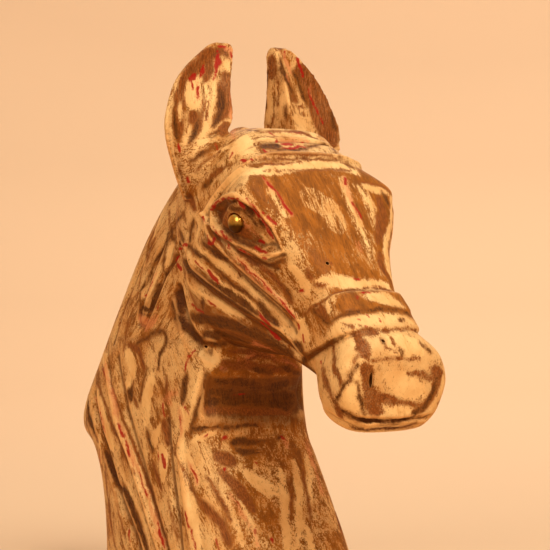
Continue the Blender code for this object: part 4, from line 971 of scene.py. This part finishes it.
def unsteady(place):
    """The places shifted by a hand's unsteadiness, so that no stroke has an even edge."""
    shift = [
        noise.noise_vector(Vector(point) / SLOW_LENGTH) * SLOW_WAVER
        + noise.noise_vector(Vector(point) / QUICK_LENGTH) * QUICK_WAVER
        for point in place
    ]
    return place + np.array([tuple(step) for step in shift])


def strokes_on(place, surface, tables):
    """Every stroke's reach over the skin, in the order in which they were worked."""
    place = unsteady(place)
    for table, mirrored in tables:
        for finish, half_width, rise, path in table:
            for side in ((1, -1) if mirrored else (1,)):
                line = along_skin(surface, [(x * side, y, z) for x, y, z in path])
                room = half_width + REACH
                near = np.all((place > line.min(0) - room) & (place < line.max(0) + room), axis=1)
                near = np.flatnonzero(near)
                if len(near) == 0:
                    continue
                yield finish, half_width, rise, near, inside_stroke(place[near], line, half_width)


def links_of(mesh):
    """The two ends of each edge, and how many edges meet at each point."""
    ends = np.empty(len(mesh.edges) * 2, int)
    mesh.edges.foreach_get("vertices", ends)
    one, other = ends.reshape(-1, 2).T
    count = np.bincount(ends, minlength=len(mesh.vertices))
    return one, other, np.maximum(count, 1)


def eased_over(values, links, shares):
    """The values drawn towards the mean of their neighbours', by each share in turn."""
    one, other, count = links
    values = values.copy()
    for share in shares:
        for k in range(values.shape[1]):
            total = np.bincount(one, values[other, k], len(values))
            total = total + np.bincount(other, values[one, k], len(values))
            values[:, k] += share * (total / count - values[:, k])
    return values


def between(value, low, high):
    return np.clip((value - low) / (high - low), 0.0, 1.0)


WORK = (
    (NECK_WORK, True), (CHEEK_WORK, True), (THROAT_WORK, False), (FACE_WORK, False), (EYE_WORK, True),
    (POLL_WORK, False), (NEAR_EAR_WORK, False), (FAR_EAR_WORK, False), (MUZZLE_WORK, False),
)

# The thin rims of the ears are drawn even: first eased, then by shares that give back what they take,
# so that the rims get no thinner. It sets in between the heights where the ears leave the head
EARS_LEAVE = (288, 296)
RIM_EASING = [0.5] * 6 + [0.6, -0.62] * 12
place = places(carved_head.data)[0]
even = eased_over(place, links_of(carved_head.data), RIM_EASING)
place += between(place[:, 2], *EARS_LEAVE)[:, None] * (even - place)
move_points(carved_head.data, place)

# The finer cuts and ridges of the worked places
place, normal = places(carved_head.data)[:2]
surface = BVHTree.FromObject(carved_head, bpy.context.evaluated_depsgraph_get())
rise = np.zeros(len(place))
for finish, half_width, height, near, inside in strokes_on(place, surface, WORK):
    if height:
        share = np.clip(inside / max(half_width, THINNEST), 0.0, 1.0)
        share = share * share * (3.0 - 2.0 * share)
        rise[near] += height * (SHALLOW if abs(height) < DEEP else 1.0) * share
move_points(carved_head.data, place + normal * rise[:, None])

# The skin keeps even, small triangles where it faces the front right, from which it is looked at most,
# and longer ones elsewhere. Needed is the share of them kept: a base for the far side with more on the
# near side, less by a factor on the neck, and no less than their own shares under the jaw and on the ears
LOOKED_AT_FROM = np.array([-0.62, -0.79, 0.0])
SKIN_TRIANGLES = 196000
FINEST = 10
FAR_SIDE, NEAR_SIDE = 0.32, 0.68
ON_NECK, UNDER_JAW, ON_EARS = 0.85, 0.75, 0.9
EAR_BASE = 284
place, normal, along, deep = places(carved_head.data)
facing = np.clip((dot(normal, LOOKED_AT_FROM) + 0.15) / 0.4, 0.0, 1.0)
under_jaw = (place[:, 0] < 10) & (np.abs(place[:, 2] - 130) < 40) & (place[:, 1] < 40)
needed = (FAR_SIDE + NEAR_SIDE * facing) * np.where((deep < 125) & (along > -60), 1.0, ON_NECK)
needed = np.maximum(needed, np.where(under_jaw, UNDER_JAW, 0.0))
needed = np.maximum(needed, np.where(place[:, 2] > EAR_BASE, ON_EARS, 0.0))
group = carved_head.vertex_groups.new(name="spare")
level = np.round(needed * FINEST).astype(int)
for step in range(FINEST + 1):
    group.add(np.flatnonzero(level == step).tolist(), 1.0 - step / FINEST, "REPLACE")
carved_head.data.calc_loop_triangles()
fewer = carved_head.modifiers.new("fewer_faces", "DECIMATE")
fewer.ratio = min(1.0, SKIN_TRIANGLES / len(carved_head.data.loop_triangles))
fewer.vertex_group = "spare"
fewer.vertex_group_factor = 0.0001
settle(carved_head)
carved_head.vertex_groups.clear()

# The block is sawn off level below
shell = bmesh.new()
shell.from_mesh(carved_head.data)
everything = shell.verts[:] + shell.edges[:] + shell.faces[:]
cut = bmesh.ops.bisect_plane(
    shell, geom=everything, plane_co=(0, 0, 0), plane_no=(0, 0, -1), clear_outer=True,
)
rim = [item for item in cut["geom_cut"] if isinstance(item, bmesh.types.BMEdge)]
bmesh.ops.contextual_create(shell, geom=rim)
bmesh.ops.triangulate(shell, faces=[face for face in shell.faces if len(face.verts) > 4])
bmesh.ops.recalc_face_normals(shell, faces=shell.faces[:])
shell.to_mesh(carved_head.data)
shell.free()

# Holes: the seat and bore for each eye tack, which are where the CAD tacks stand, old brad holes in the
# nose, face and cheek, and the slit left in the muzzle
TACK_TURN = math.radians(4)
TACK_RADIUS = 6.1
TACK_HEIGHT = 4.6
SHANK_RADIUS = 1.0
BORE_DEPTH = 10.0
PLAY = 0.3
BRAD_RADIUS = 0.85
BRAD_DEPTH = 4.0

# A cutter stands this far out of the wood, over a seat and over an old hole, and inside a hole means
# this far below the skin
OVER_SEAT = 6.0
OVER_BRAD = 2.0
BELOW_SKIN = 0.2


def tack_axis(side):
    return Vector((
        side * math.cos(TACK_TURN) * math.cos(TACK_TURN),
        -math.sin(TACK_TURN) * math.cos(TACK_TURN),
        -math.sin(TACK_TURN),
    ))


def tack_seat(side):
    """The middle of the floor of a tack's seat, found from the top of the CAD tack's dome."""
    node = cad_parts["eye_tack_left" if side > 0 else "eye_tack_right"]
    points = [v.co for v in node.data.vertices]
    axis = tack_axis(side)
    top = max(points, key=lambda point: point.dot(axis))
    return top - axis * (TACK_HEIGHT * MM)


def bore(name, place, axis, profile, wide=(1.0, 1.0), segments=32):
    """A closed cutter turned about its axis from (radius, height), set in place."""
    shell = bmesh.new()
    rings = []
    for radius, height in profile:
        ring = []
        for i in range(segments):
            turn = 2 * math.pi * i / segments
            x = radius * wide[0] * math.cos(turn)
            y = radius * wide[1] * math.sin(turn)
            ring.append(shell.verts.new(Vector((x, y, height)) * MM))
        rings.append(ring)
    for ring, following in zip(rings, rings[1:]):
        for i, vert in enumerate(ring):
            j = (i + 1) % segments
            shell.faces.new((vert, ring[j], following[j], following[i]))
    shell.faces.new(list(reversed(rings[0])))
    shell.faces.new(rings[-1])
    bmesh.ops.recalc_face_normals(shell, faces=shell.faces[:])
    turn = axis.to_track_quat("Z", "Y").to_matrix().to_4x4()
    shell.transform(Matrix.Translation(place) @ turn)
    mesh = bpy.data.meshes.new(name)
    shell.to_mesh(mesh)
    shell.free()
    return stand(name, mesh)


# The old holes: (across, front, up) of the mouth, and how much wider than a brad across and along
HOLES = (
    ((-11.1, 166.1, 166.4), (1.4, 1.4)),
    ((-21.7, 128.0, 211.7), (1.4, 1.4)),
    ((-34.9, 23.8, 159.7), (1.6, 1.1)),
    ((-23.3, 169.3, 144.1), (1.4, 5.2)),
)
uncut = BVHTree.FromObject(carved_head, bpy.context.evaluated_depsgraph_get())
cutters = []
for side in (-1, 1):
    cutters.append(bore("eye_seat", tack_seat(side), tack_axis(side), (
        (SHANK_RADIUS + PLAY, -BORE_DEPTH), (SHANK_RADIUS + PLAY, 0.0),
        (TACK_RADIUS + PLAY, 0.001), (TACK_RADIUS + PLAY, OVER_SEAT),
    )))
for (x, y, z), wide in HOLES:
    mouth, outwards = uncut.find_nearest(Vector((x, -y, z)) * MM)[:2]
    cutters.append(bore("old_hole", mouth, outwards, (
        (BRAD_RADIUS, -BRAD_DEPTH), (BRAD_RADIUS, -2 * BELOW_SKIN), (BRAD_RADIUS, OVER_BRAD),
    ), wide))
joined = bmesh.new()
for cutter in cutters:
    joined.from_mesh(cutter.data)
    bpy.data.objects.remove(cutter, do_unlink=True)
holes_mesh = bpy.data.meshes.new("holes")
joined.to_mesh(holes_mesh)
joined.free()
holes = stand("holes", holes_mesh)
bored = carved_head.modifiers.new("holes", "BOOLEAN")
bored.operation = "DIFFERENCE"
bored.solver = "MANIFOLD"
bored.object = holes
settle(carved_head)
bpy.data.objects.remove(holes, do_unlink=True)

# Nothing of the skin stands outside the solid's box
place = places(carved_head.data)[0]
in_hole = np.array([uncut.find_nearest(Vector(point) * MM)[3] > BELOW_SKIN * MM for point in place])
low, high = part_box("horse_head")
place = np.clip(place * MM, np.array(low), np.array(high)) / MM
move_points(carved_head.data, place)

# Where the paint, the stain and the rubbed places are. Each later stroke covers the ones before it
place, normal, along, deep = places(carved_head.data)
surface = BVHTree.FromObject(carved_head, bpy.context.evaluated_depsgraph_get())
field = {finish: np.full(len(place), -REACH) for finish in FINISHES}
for finish, half_width, height, near, inside in strokes_on(place, surface, WORK):
    inside = np.clip(inside, -REACH, REACH)
    if finish == "s":
        finish, inside = "c", np.minimum(inside, SCUFFED)
    for over in FINISHES[FINISHES.index(finish) + 1:]:
        field[over][near] = np.minimum(field[over][near], -inside)
    field[finish][near] = np.maximum(field[finish][near], inside)
# Inside the holes the skin gets the dark finish alone: painted shade for the dark inside of a hole
for finish in FINISHES:
    field[finish][in_hole] = REACH if finish == "d" else -REACH

# How far each point stands proud of the skin round it, or lies sunk in it, in millimetres
ROUND_IT = [0.5] * 24
proud = ((place - eased_over(place, links_of(carved_head.data), ROUND_IT)) * normal).sum(1)

# Each zone, with soft ends: the head and on it the muzzle and the face, the ears, the front of the
# neck, and the throat with the underside of the jaw, where the head faces down and shade is painted
across, front, up = place[:, 0], -place[:, 1], place[:, 2]
faceward = face_on(normal)
is_head = between(along, -30, -22) * between(125 - deep, 0, 4) * between(290 - up, 0, 5)
is_muzzle = is_head * between(along, 108, 112)
is_face = is_head * between(faceward, 0.6, 0.8) * between(along, -4, 0) * (1 - is_muzzle)
is_ear = between(up, *EARS_LEAVE)
is_front = (1 - is_head) * between(-normal[:, 1], 0.6, 0.8) * (up < 250)
throat_shade = between(up, 102, 116) * is_front + is_head * between(-normal[:, 2], 0.2, 0.6) * (along < 120)
throat_shade = np.clip(throat_shade, 0.0, 1.0)

# Each zone's share of cream paint and of stain. The throat and the underside of the jaw get less cream
# and more stain as painted shade. The ears' rims are thin, so they count as proud of the skin round
# them, and are let off most of the rubbing for it
cream = 0.56 - 0.36 * is_face + 0.19 * is_muzzle - 0.12 * is_front - 0.35 * throat_shade + 0.02 * is_ear
proud *= 1 - 0.8 * is_ear
stain_and_throat_shade = 0.12 - 0.08 * is_face - 0.08 * is_muzzle + 0.62 * throat_shade

# The way in which the grain runs: along the head, down the neck, up the ears and the front of the
# neck, and across the poll
mane = (1 - is_head) * between(up, 150, 175)
down_neck = np.where(mane[:, None] > 0.5, (0.66, 0.75), (-0.60, 0.80))
run = np.where(is_head > 0.5, along, front * down_neck[:, 0] + up * down_neck[:, 1])
skew = np.where(is_head > 0.5, deep, front * down_neck[:, 1] - up * down_neck[:, 0])
wide = across.copy()
upright = np.maximum(is_ear, is_front) > 0.5
run = np.where(upright, up, run)
skew = np.where(upright, front, skew)
poll = (is_head < 0.5) & (is_ear < 0.5) & (up > 262)
run, wide = np.where(poll, across, run), np.where(poll, up, wide)
grain = np.stack([run, skew, wide], 1)

for name, values in (
    ("cream", field["c"]), ("bare", field["w"]), ("brown", field["b"]), ("dark", field["d"]),
    ("blush", field["p"]), ("red", field["r"]), ("proud", proud), ("ground", cream), ("stain_and_throat_shade", stain_and_throat_shade),
):
    layer = carved_head.data.attributes.new(name, "FLOAT", "POINT")
    layer.data.foreach_set("value", np.asarray(values, np.float32))
layer = carved_head.data.attributes.new("grain", "FLOAT_VECTOR", "POINT")
layer.data.foreach_set("vector", grain.astype(np.float32).ravel())
carved_head.data.shade_smooth()


def srgb(red, green, blue):
    """A colour given as on a paint card, as the shader wants it."""
    card = (value / 255 for value in (red, green, blue))
    light = (value / 12.92 if value <= 0.04045 else ((value + 0.055) / 1.055) ** 2.4 for value in card)
    return (*light, 1.0)


def add_node(tree, kind, inputs=(), **settings):
    """A node with its settings made and its inputs set to values, or linked where given a socket."""
    made = tree.nodes.new(kind)
    for key, value in settings.items():
        setattr(made, key, value)
    for key, value in dict(inputs).items():
        if isinstance(value, bpy.types.NodeSocket):
            tree.links.new(value, made.inputs[key])
        else:
            made.inputs[key].default_value = value
    return made


def maths(tree, operation, one, other=0.0, clamp=False):
    made = add_node(tree, "ShaderNodeMath", {0: one, 1: other}, operation=operation, use_clamp=clamp)
    return made.outputs[0]


def ramp(tree, value, low, high):
    """0 at low and 1 at high, with eased ends."""
    made = add_node(
        tree, "ShaderNodeMapRange", {"Value": value, "From Min": low, "From Max": high},
        interpolation_type="SMOOTHSTEP",
    )
    return made.outputs[0]


def blend(tree, share, under, over, mode="MIX"):
    """One colour over another by a share."""
    made = add_node(tree, "ShaderNodeMix", data_type="RGBA", blend_type=mode)
    for index, value in ((0, share), (6, under), (7, over)):
        if isinstance(value, bpy.types.NodeSocket):
            tree.links.new(value, made.inputs[index])
        else:
            made.inputs[index].default_value = value
    return made.outputs[2]


def attribute(tree, name, vector=False):
    made = add_node(tree, "ShaderNodeAttribute", attribute_name=name)
    return made.outputs["Vector" if vector else "Fac"]


def noise_group():
    """Wear: a patchy mask and a fine speckle at sizes given in millimetres, from Object coordinates."""
    tree = bpy.data.node_groups.new("old wear", "ShaderNodeTree")
    for name, value in (("Patch size mm", 20.0), ("Speck size mm", 1.0), ("Shift", 0.0)):
        socket = tree.interface.new_socket(name, in_out="INPUT", socket_type="NodeSocketFloat")
        socket.default_value = value
    for name in ("Patches", "Specks"):
        tree.interface.new_socket(name, in_out="OUTPUT", socket_type="NodeSocketFloat")
    inside = tree.nodes.new("NodeGroupInput")
    outside = tree.nodes.new("NodeGroupOutput")
    where = tree.nodes.new("ShaderNodeTexCoord").outputs["Object"]
    moved = add_node(tree, "ShaderNodeVectorMath", {0: where}, operation="ADD")
    tree.links.new(inside.outputs["Shift"], moved.inputs[1])
    for size, name, detail in (("Patch size mm", "Patches", 4.0), ("Speck size mm", "Specks", 3.0)):
        scale = maths(tree, "DIVIDE", 1000.0, inside.outputs[size])
        grains = add_node(tree, "ShaderNodeTexNoise", {
            "Vector": moved.outputs[0], "Scale": scale, "Detail": detail, "Roughness": 0.6,
        })
        tree.links.new(grains.outputs["Fac"], outside.inputs[name])
    return tree


old_wear = noise_group()


def worn_material(name, patch_size, speck_size, shift=0.0):
    """A new material with its tree, its shader and its own sizes of wear."""
    made = bpy.data.materials.new(name)
    made.use_nodes = True
    tree = made.node_tree
    wear = tree.nodes.new("ShaderNodeGroup")
    wear.node_tree = old_wear
    wear.inputs["Patch size mm"].default_value = patch_size
    wear.inputs["Speck size mm"].default_value = speck_size
    wear.inputs["Shift"].default_value = shift
    return made, tree, tree.nodes["Principled BSDF"], wear


def wood_material():
    """Cream paint over red over ochre-brown wood, rubbed through on the ridges and stained in the cuts, with
    painted shade in the throat, under the jaw and in the holes.
    """
    made, tree, shader, wear = worn_material("rubbed painted wood", 24.0, 1.0)
    patches, specks = wear.outputs["Patches"], wear.outputs["Specks"]

    def along_grain(stretch, detail, rough, twist=0.0):
        grain = attribute(tree, "grain", vector=True)
        sized = add_node(tree, "ShaderNodeVectorMath", {0: grain, 1: stretch}, operation="MULTIPLY")
        made = add_node(tree, "ShaderNodeTexNoise", {
            "Vector": sized.outputs[0], "Scale": 1.0, "Detail": detail, "Roughness": rough,
            "Distortion": twist,
        })
        return maths(tree, "SUBTRACT", made.outputs["Fac"], 0.5)

    streaks = along_grain((0.05, 0.17, 0.17), 7.0, 0.72, 0.4)
    hairs = along_grain((0.20, 1.3, 1.3), 3.0, 0.65)
    specks = maths(tree, "SUBTRACT", specks, 0.5)
    patches = maths(tree, "SUBTRACT", patches, 0.5)

    def sum_of(*parts):
        total = 0.0
        for value, weight in parts:
            scaled = maths(tree, "MULTIPLY", value, weight)
            total = scaled if total == 0.0 else maths(tree, "ADD", total, scaled)
        return total

    # Ragged edges of every patch, in millimetres
    ragged = sum_of((streaks, 10.0), (hairs, 6.5), (specks, 5.5))

    def over(colour, share, strength, tint):
        return blend(tree, maths(tree, "MULTIPLY", share, strength), colour, tint)

    def without(share, strength=1.0):
        if strength != 1.0:
            share = maths(tree, "MULTIPLY", share, strength)
        return maths(tree, "SUBTRACT", 1.0, share)

    def patch(name, soft=0.7, rag=1.0, bias=0.0):
        """Where a finish lies: its field's edge made ragged, and soft by so many millimetres."""
        edge = maths(tree, "ADD", sum_of((attribute(tree, name), 1.0), (ragged, rag)), bias)
        return ramp(tree, edge, -soft, soft)

    proud = attribute(tree, "proud")
    ground = ramp(tree, sum_of((attribute(tree, "ground"), 1.0), (patches, 0.9), (ragged, 0.16)), 0.34, 0.66)
    painted = maths(tree, "MAXIMUM", patch("cream", 1.1, 1.0, 0.9), maths(tree, "MULTIPLY", ground, 0.8))
    painted = maths(tree, "MULTIPLY", painted, without(patch("bare", 1.2)))
    scuffs = ramp(tree, sum_of((hairs, 1.0), (specks, 0.8), (streaks, 0.8)), 0.16, 0.36)
    painted = maths(tree, "MULTIPLY", painted, without(scuffs, 0.7))

    # Bare wood with dark hairs, cream over it, and then the stain, which in the throat and under the jaw
    # is painted shade
    wood = blend(tree, ramp(tree, streaks, -0.16, 0.16), srgb(126, 72, 16), srgb(170, 100, 26))
    wood = blend(tree, ramp(tree, hairs, 0.02, 0.22), wood, srgb(100, 54, 12))
    cream = blend(tree, ramp(tree, patches, -0.2, 0.2), srgb(222, 170, 104), srgb(242, 200, 134))
    cream = over(cream, ramp(tree, streaks, 0.0, 0.24), 0.6, srgb(190, 128, 52))
    colour = blend(tree, painted, wood, cream)
    # The stain, with the painted shade of the throat and the underside of the jaw
    lean = sum_of((attribute(tree, "stain_and_throat_shade"), 1.0), (ragged, 0.10), (patches, 0.7))
    colour = over(colour, ramp(tree, lean, 0.2, 0.8), 0.85, srgb(86, 46, 12))

    # Brown, then dark stain with a paler edge round it, both thin in places. The dark is also the painted
    # shade inside the holes and under the chin
    tint = blend(tree, ramp(tree, hairs, -0.15, 0.15), srgb(104, 54, 16), srgb(148, 82, 30))
    thick = sum_of((streaks, 1.2), (specks, 0.8))
    colour = over(colour, patch("brown", 1.0, 0.7), maths(tree, "ADD", thick, 0.95, True), tint)
    colour = over(colour, patch("dark", 1.6, 0.6, 1.0), 0.75, srgb(138, 80, 26))
    tint = blend(tree, ramp(tree, hairs, -0.15, 0.15), srgb(66, 34, 8), srgb(108, 62, 18))
    colour = over(colour, patch("dark", 1.0, 0.6), maths(tree, "ADD", thick, 0.9, True), tint)

    # Dirt where the skin is sunk, rubbing where it is proud, and the red and pink of the first coat
    sunk = sum_of((ragged, 0.06), (proud, -1.0))
    colour = over(colour, ramp(tree, sunk, 0.15, 0.9), 0.7, srgb(88, 48, 18))
    worn = sum_of((ragged, 0.07), (proud, 1.0))
    colour = over(colour, ramp(tree, worn, 0.3, 0.9), 0.5, srgb(236, 176, 106))
    colour = over(colour, patch("blush", 1.2, 1.0), 0.55, srgb(212, 128, 80))
    colour = over(colour, patch("red", 0.5, 0.22), 0.95, srgb(158, 22, 10))
    tree.links.new(colour, shader.inputs["Base Color"])

    shader.inputs["Specular IOR Level"].default_value = 0.12
    rough = maths(tree, "ADD", 0.56, maths(tree, "MULTIPLY", sum_of((hairs, 0.5), (specks, 0.5)), 1.0))
    tree.links.new(rough, shader.inputs["Roughness"])
    relief = sum_of((hairs, 1.0), (painted, 0.5), (specks, 0.6))
    bump = add_node(tree, "ShaderNodeBump", {"Height": relief, "Strength": 0.6, "Distance": 0.0003})
    tree.links.new(bump.outputs[0], shader.inputs["Normal"])
    return made


carved_head.data.materials.clear()
carved_head.data.materials.append(wood_material())
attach(carved_head, "root")
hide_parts("horse_head")

# ---------------------------------------------------------------------------------------------
# Eye tacks
# Two dome-headed upholstery tacks of stamped brass, pushed into the eye sockets up to their rims.
# Their colour darkens to olive brown low on the dome as painted shade, with cloudy tarnish over it,
# and the top of the dome is bright brass.
# ---------------------------------------------------------------------------------------------

TACK_DOME = 3.6
TACK_STEPS = 18
TACK_SIDES = 64
TACK_POINT = -9.4
TACK_RIM = (
    (0.35, TACK_POINT), (SHANK_RADIUS, -6.9), (SHANK_RADIUS, 0.3), (5.7, 0.3),
    (6.05, 0.45), (TACK_RADIUS, 0.7), (6.05, 1.0),
)


def tack_tree():
    """A dome with a rolled rim and a pointed shank, turned from a profile that runs up from its point."""
    profile = [(0.0, TACK_POINT), *TACK_RIM]
    for i in range(1, TACK_STEPS + 1):
        turn = 0.5 * math.pi * i / TACK_STEPS
        profile.append((6.0 * math.cos(turn), 1.0 + TACK_DOME * math.sin(turn)))
    tree = bpy.data.node_groups.new("dome tack", "GeometryNodeTree")
    tree.interface.new_socket("Geometry", in_out="OUTPUT", socket_type="NodeSocketGeometry")
    for name, value in (("Size", 1.0), ("Dents", 0.05)):
        socket = tree.interface.new_socket(name, in_out="INPUT", socket_type="NodeSocketFloat")
        socket.default_value = value
    for name, kind in (("Seat", "Vector"), ("Turn", "Rotation"), ("Material", "Material")):
        tree.interface.new_socket(name, in_out="INPUT", socket_type="NodeSocket" + kind)
    inside = tree.nodes.new("NodeGroupInput")
    outside = tree.nodes.new("NodeGroupOutput")
    rows = len(profile)
    grid = add_node(tree, "GeometryNodeMeshGrid", {
        "Size X": 1.0, "Size Y": 1.0, "Vertices X": TACK_SIDES + 1, "Vertices Y": rows,
    })
    number = tree.nodes.new("GeometryNodeInputIndex").outputs[0]
    row = maths(tree, "MODULO", number, float(rows))
    column = maths(tree, "FLOOR", maths(tree, "DIVIDE", number, float(rows)))
    turn = maths(tree, "MULTIPLY", column, 2 * math.pi / TACK_SIDES)
    share = maths(tree, "DIVIDE", row, float(rows - 1))
    sides = []
    for axis, low, high in ((0, 0.0, TACK_RADIUS), (1, TACK_POINT, TACK_HEIGHT)):
        curve = add_node(tree, "ShaderNodeFloatCurve", {"Value": share})
        points = curve.mapping.curves[0].points
        for i, spot in enumerate(profile):
            at, height = i / (rows - 1), (spot[axis] - low) / (high - low)
            if i in (0, rows - 1):
                end = points[0 if i == 0 else -1]
                end.location = (at, height)
                end.handle_type = "VECTOR"
            else:
                points.new(at, height).handle_type = "VECTOR"
        curve.mapping.update()
        value = add_node(tree, "ShaderNodeMapRange", {
            "Value": curve.outputs[0], "To Min": low, "To Max": high,
        })
        sides.append(value.outputs[0])
    radius, height = sides
    dent = add_node(tree, "ShaderNodeTexNoise", {"Scale": 2.2, "Detail": 1.0})
    ring = add_node(tree, "ShaderNodeCombineXYZ", {
        0: maths(tree, "MULTIPLY", radius, maths(tree, "COSINE", turn)),
        1: maths(tree, "MULTIPLY", radius, maths(tree, "SINE", turn)),
        2: height,
    })
    tree.links.new(ring.outputs[0], dent.inputs["Vector"])
    deep = maths(tree, "MULTIPLY", maths(tree, "SUBTRACT", dent.outputs["Fac"], 0.5), inside.outputs["Dents"])
    shrink = maths(tree, "SUBTRACT", 1.0, maths(tree, "ABSOLUTE", deep))
    sized = maths(tree, "MULTIPLY", maths(tree, "MULTIPLY", shrink, inside.outputs["Size"]), MM)
    spot = add_node(tree, "ShaderNodeVectorMath", {0: ring.outputs[0]}, operation="SCALE")
    tree.links.new(sized, spot.inputs["Scale"])
    placed = add_node(tree, "GeometryNodeSetPosition", {
        "Geometry": grid.outputs["Mesh"], "Position": spot.outputs[0],
    })
    closed = add_node(tree, "GeometryNodeMergeByDistance", {
        "Geometry": placed.outputs[0], "Distance": 0.01 * MM,
    })
    stood = add_node(tree, "GeometryNodeTransform", {
        "Geometry": closed.outputs[0],
        "Translation": inside.outputs["Seat"], "Rotation": inside.outputs["Turn"],
    })
    whole = add_node(tree, "GeometryNodeRealizeInstances", {0: stood.outputs[0]})
    smooth = add_node(tree, "GeometryNodeSetShadeSmooth", {0: whole.outputs[0]})
    finished = add_node(tree, "GeometryNodeSetMaterial", {"Geometry": smooth.outputs[0]})
    tree.links.new(inside.outputs["Material"], finished.inputs["Material"])
    tree.links.new(finished.outputs[0], outside.inputs[0])
    return tree


def brass_material():
    """Old brass: bright yellow at the top, brown and olive low down as painted shade, with cloudy tarnish over
    it.
    """
    made, tree, shader, wear = worn_material("aged brass", 5.0, 0.7, 3.0)
    cloudy = maths(tree, "MULTIPLY", maths(tree, "SUBTRACT", wear.outputs["Patches"], 0.5), 0.5)
    speckled = maths(tree, "MULTIPLY", wear.outputs["Specks"], 0.1)
    # Painted shade low on the dome, with cloudy tarnish and specks over it
    tarnish_and_shade = maths(tree, "ADD", maths(tree, "ADD", attribute(tree, "tarnish_and_shade"), cloudy), speckled)
    tarnish_and_shade = ramp(tree, tarnish_and_shade, 0.25, 0.85)
    colour = blend(tree, tarnish_and_shade, srgb(228, 182, 84), srgb(78, 48, 16))
    tree.links.new(colour, shader.inputs["Base Color"])
    rough = maths(tree, "ADD", 0.22, maths(tree, "MULTIPLY", tarnish_and_shade, 0.25))
    tree.links.new(rough, shader.inputs["Roughness"])
    shader.inputs["Metallic"].default_value = 1.0
    bump = add_node(tree, "ShaderNodeBump", {
        "Height": wear.outputs["Specks"], "Strength": 0.2, "Distance": 0.0001,
    })
    tree.links.new(bump.outputs[0], shader.inputs["Normal"])
    return made


tack_nodes = tack_tree()
aged_brass = brass_material()
for side, hand in ((1, "left"), (-1, "right")):
    tack = stand("brass_tack_" + hand, bpy.data.meshes.new("brass_tack"))
    turned = tack.modifiers.new("turned", "NODES")
    turned.node_group = tack_nodes
    seat = tack_seat(side)
    values = {
        "Size": 1.0, "Dents": 0.03, "Seat": tuple(seat), "Material": aged_brass,
        "Turn": tack_axis(side).to_track_quat("Z", "Y").to_euler(),
    }
    for item in tack_nodes.interface.items_tree:
        if item.in_out == "INPUT":
            turned[item.identifier] = values[item.name]
    settle(tack)
    spots = np.array([v.co for v in tack.data.vertices]) / MM
    # How far below the seat each point lies: the lower, the darker, as painted shade
    low_down = (seat.z / MM - spots[:, 2]) / TACK_RADIUS
    layer = tack.data.attributes.new("tarnish_and_shade", "FLOAT", "POINT")
    layer.data.foreach_set("value", (0.5 + 0.7 * low_down).astype(np.float32))
    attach(tack, "root")
    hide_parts("eye_tack_" + hand)

# ---------------------------------------------------------------------------------------------
# Studio
# A pale warm floor that curves up all round into the backdrop, soft lights, and the camera where
# the photograph was taken from.
# ---------------------------------------------------------------------------------------------

# (radius, height) from the middle out, in metres
COVE = ((0.6, 0.0), (1.2, 0.0), (1.7, 0.03), (2.1, 0.15), (2.4, 0.4), (2.55, 0.8), (2.6, 1.4), (2.6, 2.4))
COVE_SIDES = 96
cove_mesh = bpy.data.meshes.new("floor")
bowl = bmesh.new()
rings = []
for radius, height in COVE:
    turns = [2 * math.pi * i / COVE_SIDES for i in range(COVE_SIDES)]
    rings.append([bowl.verts.new((radius * math.cos(turn), radius * math.sin(turn), height)) for turn in turns])
middle = bowl.verts.new((0.0, 0.0, 0.0))
for i in range(COVE_SIDES):
    bowl.faces.new((middle, rings[0][i], rings[0][(i + 1) % COVE_SIDES]))
for ring, following in zip(rings, rings[1:]):
    for i in range(COVE_SIDES):
        j = (i + 1) % COVE_SIDES
        bowl.faces.new((ring[i], following[i], following[j], ring[j]))
bowl.to_mesh(cove_mesh)
bowl.free()
cove_mesh.shade_smooth()
floor = stand("floor", cove_mesh)
paper = bpy.data.materials.new("warm paper")
paper.use_nodes = True
paper_shader = paper.node_tree.nodes["Principled BSDF"]
paper_shader.inputs["Base Color"].default_value = srgb(217, 184, 146)
paper_shader.inputs["Roughness"].default_value = 0.9
cove_mesh.materials.append(paper)

# The photograph was taken level, with a long lens. The lamps look at the middle of the carving
LOOKING = Vector((0.6157, 0.7880, 0.0)).normalized()
LENS, SENSOR = 130.9, 36.0
CAMERA_AT = Vector((-0.7763, -1.0432, 0.20475))
TARGET = Vector((0.0, -0.02, 0.19))


def soft_light(name, place, size, watts, colour, target=TARGET):
    lamp = bpy.data.lights.new(name, "AREA")
    lamp.shape = "DISK"
    lamp.size = size
    lamp.energy = watts
    lamp.color = colour
    made = stand(name, lamp)
    made.location = place
    made.rotation_euler = (target - Vector(place)).to_track_quat("-Z", "Y").to_euler()


soft_light("key", (-0.15, -1.25, 1.45), 0.9, 24, (1.0, 0.95, 0.85))
soft_light("fill", (-1.5, -0.45, 1.05), 1.1, 9, (1.0, 0.94, 0.83))
soft_light("back", (1.3, 1.3, 1.5), 1.4, 8, (1.0, 0.94, 0.84))
soft_light("backdrop", (0.9, 0.4, 2.2), 0.8, 30, (1.0, 0.98, 1.0), Vector((2.0, 1.9, 0.9)))

world = bpy.data.worlds.new("room")
bpy.context.scene.world = world
world.use_nodes = True
air = world.node_tree.nodes["Background"]
air.inputs["Color"].default_value = (1.0, 0.90, 0.76, 1.0)
air.inputs["Strength"].default_value = 0.55

eye = bpy.data.cameras.new("camera")
eye.lens = LENS
eye.sensor_width = SENSOR
camera = stand("camera", eye)
camera.location = CAMERA_AT
camera.rotation_euler = LOOKING.to_track_quat("-Z", "Y").to_euler()
bpy.context.scene.camera = camera
bpy.context.scene.view_settings.view_transform = "Standard"
